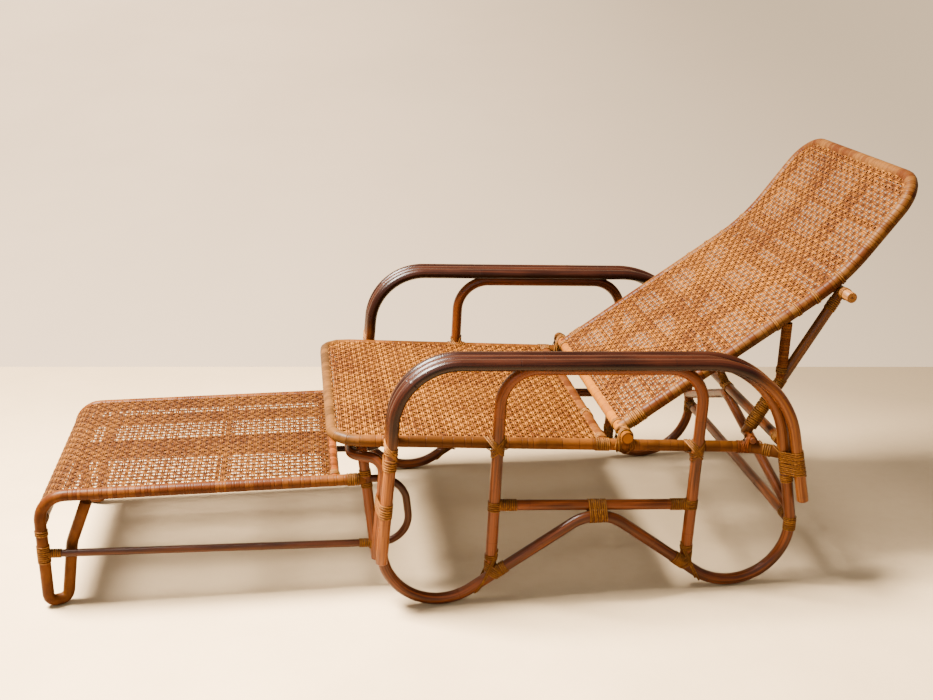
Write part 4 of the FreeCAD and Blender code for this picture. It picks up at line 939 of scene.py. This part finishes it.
class WeaveBack(bpy.types.Operator):
    """Weaves the back panel"""

    bl_idname = "long_chair.back_panel"
    bl_label = "Back panel"

    def execute(self, context):
        lift = 9 * MM
        corners = corner_points([(x, 0, z, *bend) for x, _, z, *bend in BACK_FRAME[:3]])
        start, bow, end = (point for point, _ in corners)
        lower, upper = (bow - start).normalized(), (end - bow).normalized()
        lower_up, upper_up = ACROSS.cross(-lower), ACROSS.cross(-upper)
        middle = (lower_up + upper_up).normalized() * (lift / math.cos(lower.angle(upper) / 2))
        route = Route([(start + lower_up * lift, 0), (bow + middle, corners[1][1] - lift),
                       (end + upper_up * lift, 0)])
        half, long = 283 * MM, route.length
        bands = edge_bands(long, half, 30 * MM)
        bands += [(20 * MM, long - 20 * MM, (y - 34) * MM, (y + 34) * MM, True)
                  for y in (-95, 95)]
        bands += cross_bands(half, *(
            ((place - wide / 2) * MM, (place + wide / 2) * MM)
            for place, wide in ((20, 30), (95, 12), (187, 30), (280, 12), (372, 30), (465, 26),
                                (560, 30), (660, 12), (760, 36))))
        bands = [band for band in bands if band[1] < long]
        woven_panel("back_weave", "backrest", route, half, (long, 72 * MM), 5, bands)
        return {"FINISHED"}


class WeaveFootrest(bpy.types.Operator):
    """Weaves the footrest's panel, which runs over the shoulder to the nose rail"""

    bl_idname = "long_chair.footrest_panel"
    bl_label = "Footrest panel"

    def execute(self, context):
        lift = 8.5
        route = Route(corner_points(((-302, 0, 247 + lift, 0),
                                     (-892.5 - lift, 0, 247 + lift, 54 + lift),
                                     (-892.5 - lift, 0, 188, 0))))
        half, flat = 256 * MM, 590.5 * MM
        bands = [(0.0, route.length, 192 * MM, half, True),
                 (0.0, flat, 97 * MM, 159 * MM, True), (0.0, flat, -97 * MM, -23 * MM, True),
                 (0.0, flat, -half, -238 * MM, True)]
        bands += cross_bands(half, (0.0, 26 * MM), (219 * MM, 243 * MM),
                             (flat - 66 * MM, route.length))
        woven_panel("footrest_weave", "footrest", route, half, (0, 0), 7, bands, -1,
                    "deep woven strand")
        return {"FINISHED"}


# Ways of the canes that the lashings hold
POST = Vector((0.1, 0, 0.995))
TAIL = Vector((-0.196, 0, 0.981))
LOOP = Vector((-0.165, 0, 0.986))
HOOP = Vector((0.0523, 0, 0.9986))
RAIL = Vector((0.9974, 0, -0.0715))
LEVEL = Vector((0.9983, 0, -0.0576))
UPRIGHT = Vector((-0.0958, 0, 0.9954))
ROD = Vector((0.9996, 0, -0.03))


def ring(point, way, radius, turns, pitch, seed, shift=0, strand=None):
    """A lashing square round one cane, shifted along it from the point."""
    centre = Vector(point) + Vector(way).normalized() * shift
    return ((point, way, radius),), centre, way, turns, pitch, seed, strand


def crossed(canes, centre, way, turns, pitch, seed):
    """Two lashings that lean to either side of a crossing; way is their (x, y, z)."""
    x, y, z = way
    return [(canes, centre, (x, y, z), turns, pitch, seed + 1),
            (canes, centre, (x, -y, z) if y else (-x, y, z), turns, pitch, seed - 1)]


def lash_piece(name, body, finish, rows, middle=()):
    """Makes one piece of lashings: rows are tied on both sides, middle only once."""
    bm = bmesh.new()
    for side, own_rows in ((1, rows), (-1, rows), (1, middle)):
        for row in own_rows:
            lash(bm, side, *row)
    finish_piece("strands_", name, bm, body, finish)


class LashMainFrame(bpy.types.Operator):
    """Ties the posts, hoops, stretchers and seat rails of the main frame"""

    bl_idname = "long_chair.main_lashings"
    bl_label = "Main lashings"

    def execute(self, context):
        outer, inner = ((-194, -374, 340), POST, 12), ((-194, -350, 340), POST, 12)
        low = (((-205.5, -374, 228), POST, 12), ((-205.5, -350, 228), POST, 12),
               ((-212, -328, 228), POST, 11))
        posts = [((outer, inner), (-196, -362, 326), POST, 5, 5.4, 1),
                 ((outer,), (-193, -374, 354), POST, 3, 5.2, 2),
                 ((outer, inner), (-193, -362, 354), (0.75, 0, 0.66), 3, 3.4, 3),
                 (low, (-205.5, -362, 228), POST, 6, 5.2, 4)]
        hoops = []
        for cross_x, cross_z, x, z, way, seed in (
                (23.6, 336.5, 9, 57.5, Vector((0.843, 0, 0.537)), 20),
                (438.4, 306.8, 425, 52.1, Vector((-0.799, 0, 0.602)), 40)):
            hoop, rail = ((cross_x, -338, cross_z), HOOP, 12), ((cross_x, -314, cross_z), RAIL, 12)
            leg, under = ((x, -338, z), HOOP, 12), ((x, -350, z), way, 12)
            beyond = Vector((x, -350, z)) + way.normalized() * 27
            hoops += crossed((hoop, rail), (cross_x, -326, cross_z), (0.70, 0, 0.71), 4, 3.7,
                             seed)
            hoops += [ring(*leg, 3, 4.0, seed + 3, 37.05),
                      ((leg, under), (x, -344, z + 12), (HOOP + way).normalized(), 5, 3.9,
                       seed + 4),
                      ((leg, under), (x, -344, z + 21), (HOOP - way).normalized(), 2, 4.2,
                       seed + 5),
                      ring(beyond, way, 12, 5, 4.3, seed + 6)]
        stretchers = [ring((44, -338, 208.4), LEVEL, 11, 9, 4.2, 60),
                      ring((17.0, -338, 208.4), HOOP, 12, 5, 4.4, 61),
                      ring((405, -338, 187.5), LEVEL, 11, 9, 4.2, 70),
                      ring((432.0, -338, 187.5), HOOP, 12, 5, 4.4, 71),
                      ((((230.5, -338, 197.6), LEVEL, 11), ((230.5, -350, 177), AHEAD, 12)),
                       (230.5, -344, 188), AHEAD, 9, 4.3, 80)]
        tail, loop = ((643.5, -374, 275), TAIL, 12), ((623.6, -350, 275), LOOP, 12)
        inner, across = ((643.5, -326, 275), TAIL, 12), (-0.18, 0, 0.983)
        runner = Route(corner_points(RUNNER))
        spot, way = runner.at(runner.length - 0.138)
        tails = [((tail, loop, inner), (638, -350, 266), across, 5, 4.4, 90),
                 ((tail, loop), (634, -362, 292), across, 7, 4.5, 91),
                 ring(*loop, 4, 4.4, 92, -35.49),
                 ring(spot * TO_MM, way, 12, 7, 4.4, 93)]
        rail_end = ((598, -336.9, 295.4), (0.857, -0.515, -0.062), 12)
        joints = [ring(*rail_end, 4, 4.4, 100, -9.4),
                  ((rail_end, ((640, -374, 292), TAIL, 12)), (617, -352, 298),
                   (0.62, -0.1, 0.78), 3, 4.6, 103),
                  ring((616.5, -322, 317.7), ACROSS, 11, 6, 4.2, 101),
                  ring((645.7, -322, 143), ACROSS, 11, 6, 4.2, 102)]
        top, post = (616.5, 0, 317.7), (-86.1, 0, 165.7)
        rest = [ring(top, ACROSS, 11, 9, 4.2, 120), ring(top, post, 8, 6, 4.1, 121, 24)]
        seat = [ring((245, -314, 320.6), RAIL, 12, 7, 4.2, 110, -2),
                ring((245, -290, 320.6), ACROSS, 13.5, 5, 4.2, 111, -2)]
        for x, z, radius in ((-268, 318.1, 11), (245, 320.6, 13.5)):
            held = (((x, -150, z), ACROSS, radius), ((x, -150, 299.1), AHEAD, 8))
            seat += crossed(held, (x, -150, (z + 299.1) / 2), (0.7, 0.714, 0), 3, 3.7, 112)
        brown = "brown lashing strand"
        lash_piece("front_post_lashings", "main_frame", "lashing strand", posts)
        lash_piece("hoop_lashings", "main_frame", brown, hoops)
        lash_piece("stretcher_lashings", "main_frame", brown, stretchers)
        lash_piece("rear_post_lashings", "main_frame", "lashing strand", tails)
        lash_piece("rear_joint_lashings", "main_frame", brown, joints, rest)
        lash_piece("seat_lashings", "main_frame", brown, seat)
        return {"FINISHED"}


class LashStraps(bpy.types.Operator):
    """Makes the cane loops that hold the hinge pole and the prop's pegs"""

    bl_idname = "long_chair.straps"
    bl_label = "Straps"

    def execute(self, context):
        hinge = [((((289, y, 342.4), ACROSS, 13.2), ((289, y, 316.0), ACROSS, 11.5)),
                  (289, y, 330), ACROSS, 1, 4.0, seed) for y, seed in ((-300.5, 130),
                                                                       (-328.5, 131))]
        pin, rail = ((289, -314, 342.4), ACROSS, 13.2), ((289, -314, 317.5), RAIL, 12)
        hinge += crossed((pin, rail), (289, -314, 330), (0.66, 0.75, 0), 3, 3.8, 132)
        pin, rail = ((559, -314, 317), ACROSS, 7.2), ((559, -315, 298.2), RAIL, 12)
        prop = crossed((pin, rail), (559, -314, 308), (0.66, 0.75, 0), 3, 3.8, 136)
        prop += [((rail,), (536, -314, 299.8), RAIL, 3, 4.6, 138),
                 ((rail,), (576, -318, 297), RAIL, 3, 4.6, 139)]
        lash_piece("hinge_straps", "main_frame", "brown lashing strand", hinge)
        lash_piece("prop_straps", "main_frame", "dark lashing strand", prop)
        return {"FINISHED"}


class LashMovingParts(bpy.types.Operator):
    """Ties the joints of the back, the prop and the footrest"""

    bl_idname = "long_chair.moving_lashings"
    bl_label = "Moving lashings"

    def execute(self, context):
        rail = (0.832, 0, 0.5548)
        hinge = [ring((289, -283, 342.4), rail, 13.5, 8, 4.2, 140, 41),
                 ring((289, -262, 342.4), ACROSS, 12.5, 3, 4.2, 141, -0.5)]
        frame_route = Route(corner_points(BACK_FRAME[:3]))
        rack = []
        for seed, along in ((150, 381), (151, 433), (152, 478), (153, 541)):
            spot, way = frame_route.at(along * MM)
            rack.append(ring(spot * TO_MM, way, 13.6, 2, 4.3, seed))
        foot, leg = Vector((559, -283, 317)), Vector((182, 0, 301.9)).normalized()
        strut = (4.2, 0, 126)
        prop = [ring(foot, leg, 11, 21, 4.3, 160, 62, (0.0042, 0.0040)),
                ring(foot, leg, 11, 6, 4.2, 161, 320),
                ring(foot, leg, 11, 5, 4.2, 162, 128),
                ring(foot + leg * 132, strut, 11, 3, 4.2, 163, 24),
                ring((741, -304, 618.9), ACROSS, 11, 3, 4.2, 164)]
        knee, rod = ((-238, -256, 247), UPRIGHT, 11), ((-240, -256, 101.5), ROD, 8)
        feet = [ring((-262, -256, 247), AHEAD, 12, 6, 4.3, 170, -2),
                ring(*knee, 3, 4.3, 171, -11.03),
                ring(*knee, 3, 4.3, 172, 15.08),
                ring(*rod, 6, 4.3, 173, -3),
                ring((-223.9, -256, 101), UPRIGHT, 11, 5, 4.3, 174),
                ring((-892.5, -256, 121), UP, 12, 9, 4.3, 175),
                ring((-875, -256, 120.5), ROD, 8, 6, 4.3, 176, 5),
                ring((-892.5, -256, 160), UP, 12, 3, 4.3, 177, 8),
                ring((-244.6, -238, 315.4), ACROSS, 8, 3, 4.3, 178),
                ring((-892.5, -232, 188), ACROSS, 11, 5, 4.3, 179, -2),
                ring((-302, -232, 247), ACROSS, 11, 5, 4.3, 180, -2)]
        brown = "brown lashing strand"
        lash_piece("back_hinge_lashings", "backrest", brown, hinge)
        lash_piece("back_rack_wraps", "backrest", brown, rack)
        lash_piece("prop_lashings", "prop", brown, prop)
        lash_piece("footrest_lashings", "footrest", brown, feet)
        return {"FINISHED"}


class PaintBattens(bpy.types.Operator):
    """Gives the seat's flat battens their cane finish"""

    bl_idname = "long_chair.battens"
    bl_label = "Seat battens"

    def execute(self, context):
        finish = Finish("flat batten")
        honey = settings()[2].honey
        x, y, z = finish.place()
        grain = finish.noise((x * 6.0, y * 0.8, z * 6.0), 40.0, 3.0)
        colour = finish.mix(grain, shade(honey, 0.6), honey)
        material = finish.surface(colour, grain * 0.2 + 0.4, grain, 0.0003)
        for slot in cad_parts["seat_battens"].material_slots:
            slot.material = material
        return {"FINISHED"}


def stage_finish(name, colour, heading=None):
    """Seamless paper. The floor, which has a heading, darkens away from the key light with painted
    shade, and the backdrop glows by itself with painted light, brighter to the left, so that it
    looks the same on its slope."""
    finish = Finish("studio " + name)
    x, y, z = finish.place()
    cloud = finish.noise((x, y, z), 1.3, 4.0, 0.6)
    fine = finish.noise((x, y, z), 34.0, 4.0)
    tone = finish.mix(cloud.clamped(0.3, 0.7), shade(colour, 0.86), shade(colour, 1.02))
    tone = finish.mix(fine.clamped(0.45, 0.8) * 0.3, tone, shade(colour, 0.88))
    painted_glow = (0.0, 0.0, 0.0, 1.0)
    if heading is not None:
        far = y * math.cos(heading) + x * math.sin(heading)
        # Painted shade: the floor darkens far off and to the right, where the key light falls off
        painted_falloff = far.clamped(-0.3, 1.1) * (x.clamped(-0.4, 1.6) * 0.85 + 0.26)
        tone = finish.mix(painted_falloff, tone, shade(colour, 0.38))
    else:
        # The backdrop is painted light: its own colour is nearly black, and its emitted light,
        # brighter to the left and mottled, stands for the key light falling on it
        tone = finish.mix(1.0, tone, (0.12, 0.12, 0.12), "MULTIPLY")
        painted_glow = finish.mix(x.clamped(-1.6, 2.6), (0.85, 0.60, 0.375), (0.32, 0.234, 0.147))
        painted_glow = finish.mix(cloud.clamped(0.35, 0.7) * 0.10, painted_glow, (0.30, 0.22, 0.14))
    return finish.surface(tone, fine * 0.2 + 0.55, fine, 0.0006, Specular_IOR_Level=0.2,
                          Emission_Color=painted_glow, Emission_Strength=3.0)


def placed(name, data, place=(0, 0, 0), turn=(0, 0, 0)):
    """Adds an object to the scene."""
    thing = bpy.data.objects.new(name, data)
    thing.location = place
    thing.rotation_euler = turn
    bpy.context.scene.collection.objects.link(thing)
    return thing


class BuildStage(bpy.types.Operator):
    """Adds the floor, the backdrop, the lights and the camera"""

    bl_idname = "long_chair.stage"
    bl_label = "Stage"

    def execute(self, context):
        colours, stage = settings()[2:]
        turn = stage.heading
        ahead = Vector((math.sin(turn), math.cos(turn), 0))
        aside = Vector((math.cos(turn), -math.sin(turn), 0))
        rise = (stage.ramp_end - stage.wall_line) * math.tan(stage.ramp)
        line = [(-REACH, 0.0), (stage.wall_line, 0.0), (stage.ramp_end, rise),
                (stage.ramp_end, TOP)]
        bm = bmesh.new()
        made = bmesh.ops.create_grid(bm, x_segments=1, y_segments=len(line) - 1, size=1)
        for vert in made["verts"]:
            far, high = line[round((vert.co.y + 1) / 2 * (len(line) - 1))]
            vert.co = ahead * far + aside * (vert.co.x * REACH) + UP * high
        for face in bm.faces:
            face.material_index = int(face.calc_center_median().z > 0.01)
        mesh = bpy.data.meshes.new("studio_backdrop")
        bm.to_mesh(mesh)
        bm.free()
        mesh.materials.append(stage_finish("floor", colours.floor, turn))
        mesh.materials.append(stage_finish("wall", colours.wall))
        placed("studio_backdrop", mesh)
        for name, place, target, wide, colour in (
                ("key", (-1.9, 0.05, 3.6), (-0.5, -0.5, 0.0), 1.3, (1.0, 0.91, 0.81)),
                ("fill", (-1.2, -4.2, 2.2), (0.0, 0.0, 0.3), 2.4, (1.0, 0.92, 0.83))):
            lamp = bpy.data.lights.new(name, "AREA")
            lamp.size = wide
            lamp.energy = getattr(stage, name)
            lamp.spread = math.radians(120)
            lamp.color = colour
            way = Vector(target) - Vector(place)
            placed(name, lamp, place, way.to_track_quat("-Z", "Y").to_euler())
        world = bpy.data.worlds.new("studio")
        world.use_nodes = True
        sky = world.node_tree.nodes["Background"]
        sky.inputs["Color"].default_value = (0.88, 0.92, 1.0, 1)
        sky.inputs["Strength"].default_value = stage.sky
        context.scene.world = world
        view = bpy.data.cameras.new("camera")
        view.lens = stage.lens
        view.sensor_width = 36
        view.clip_end = 60
        context.scene.camera = placed("camera", view, stage.place,
                                      (math.pi / 2 - stage.pitch, 0, -turn))
        return {"FINISHED"}


class ChairPanel(bpy.types.Panel):
    """Lists the steps that build the chair"""

    bl_idname = "VIEW3D_PT_long_chair"
    bl_label = "Long Chair"
    bl_space_type = "VIEW_3D"
    bl_region_type = "UI"
    bl_category = "Long Chair"

    def draw(self, context):
        for step in STEPS:
            self.layout.operator(step.bl_idname)
        for group in settings():
            box = self.layout.box()
            for name in group.bl_rna.properties.keys():
                if name not in ("rna_type", "name"):
                    box.prop(group, name)


GROUPS = {"chair_canes": CaneSizes, "chair_strands": StrandSizes,
          "chair_colours": FinishColours, "chair_stage": StageSettings}
STEPS = (MakeFinishes, MakeArms, MakeSideFrames, MakeSeatFrame, MakeBackFrame, MakeProp,
         MakeFootrest, WeaveSeat, WeaveBack, WeaveFootrest, LashMainFrame, LashStraps,
         LashMovingParts, PaintBattens, BuildStage)


def register():
    for group in GROUPS.values():
        bpy.utils.register_class(group)
    for name, group in GROUPS.items():
        setattr(bpy.types.Scene, name, PointerProperty(type=group))
    for step in STEPS:
        bpy.utils.register_class(step)
    bpy.utils.register_class(ChairPanel)


def unregister():
    bpy.utils.unregister_class(ChairPanel)
    for step in reversed(STEPS):
        bpy.utils.unregister_class(step)
    for name, group in GROUPS.items():
        delattr(bpy.types.Scene, name)
        bpy.utils.unregister_class(group)


def main():
    register()
    for step in STEPS:
        family, action = step.bl_idname.split(".")
        getattr(getattr(bpy.ops, family), action)()


if __name__ == "__main__":
    main()
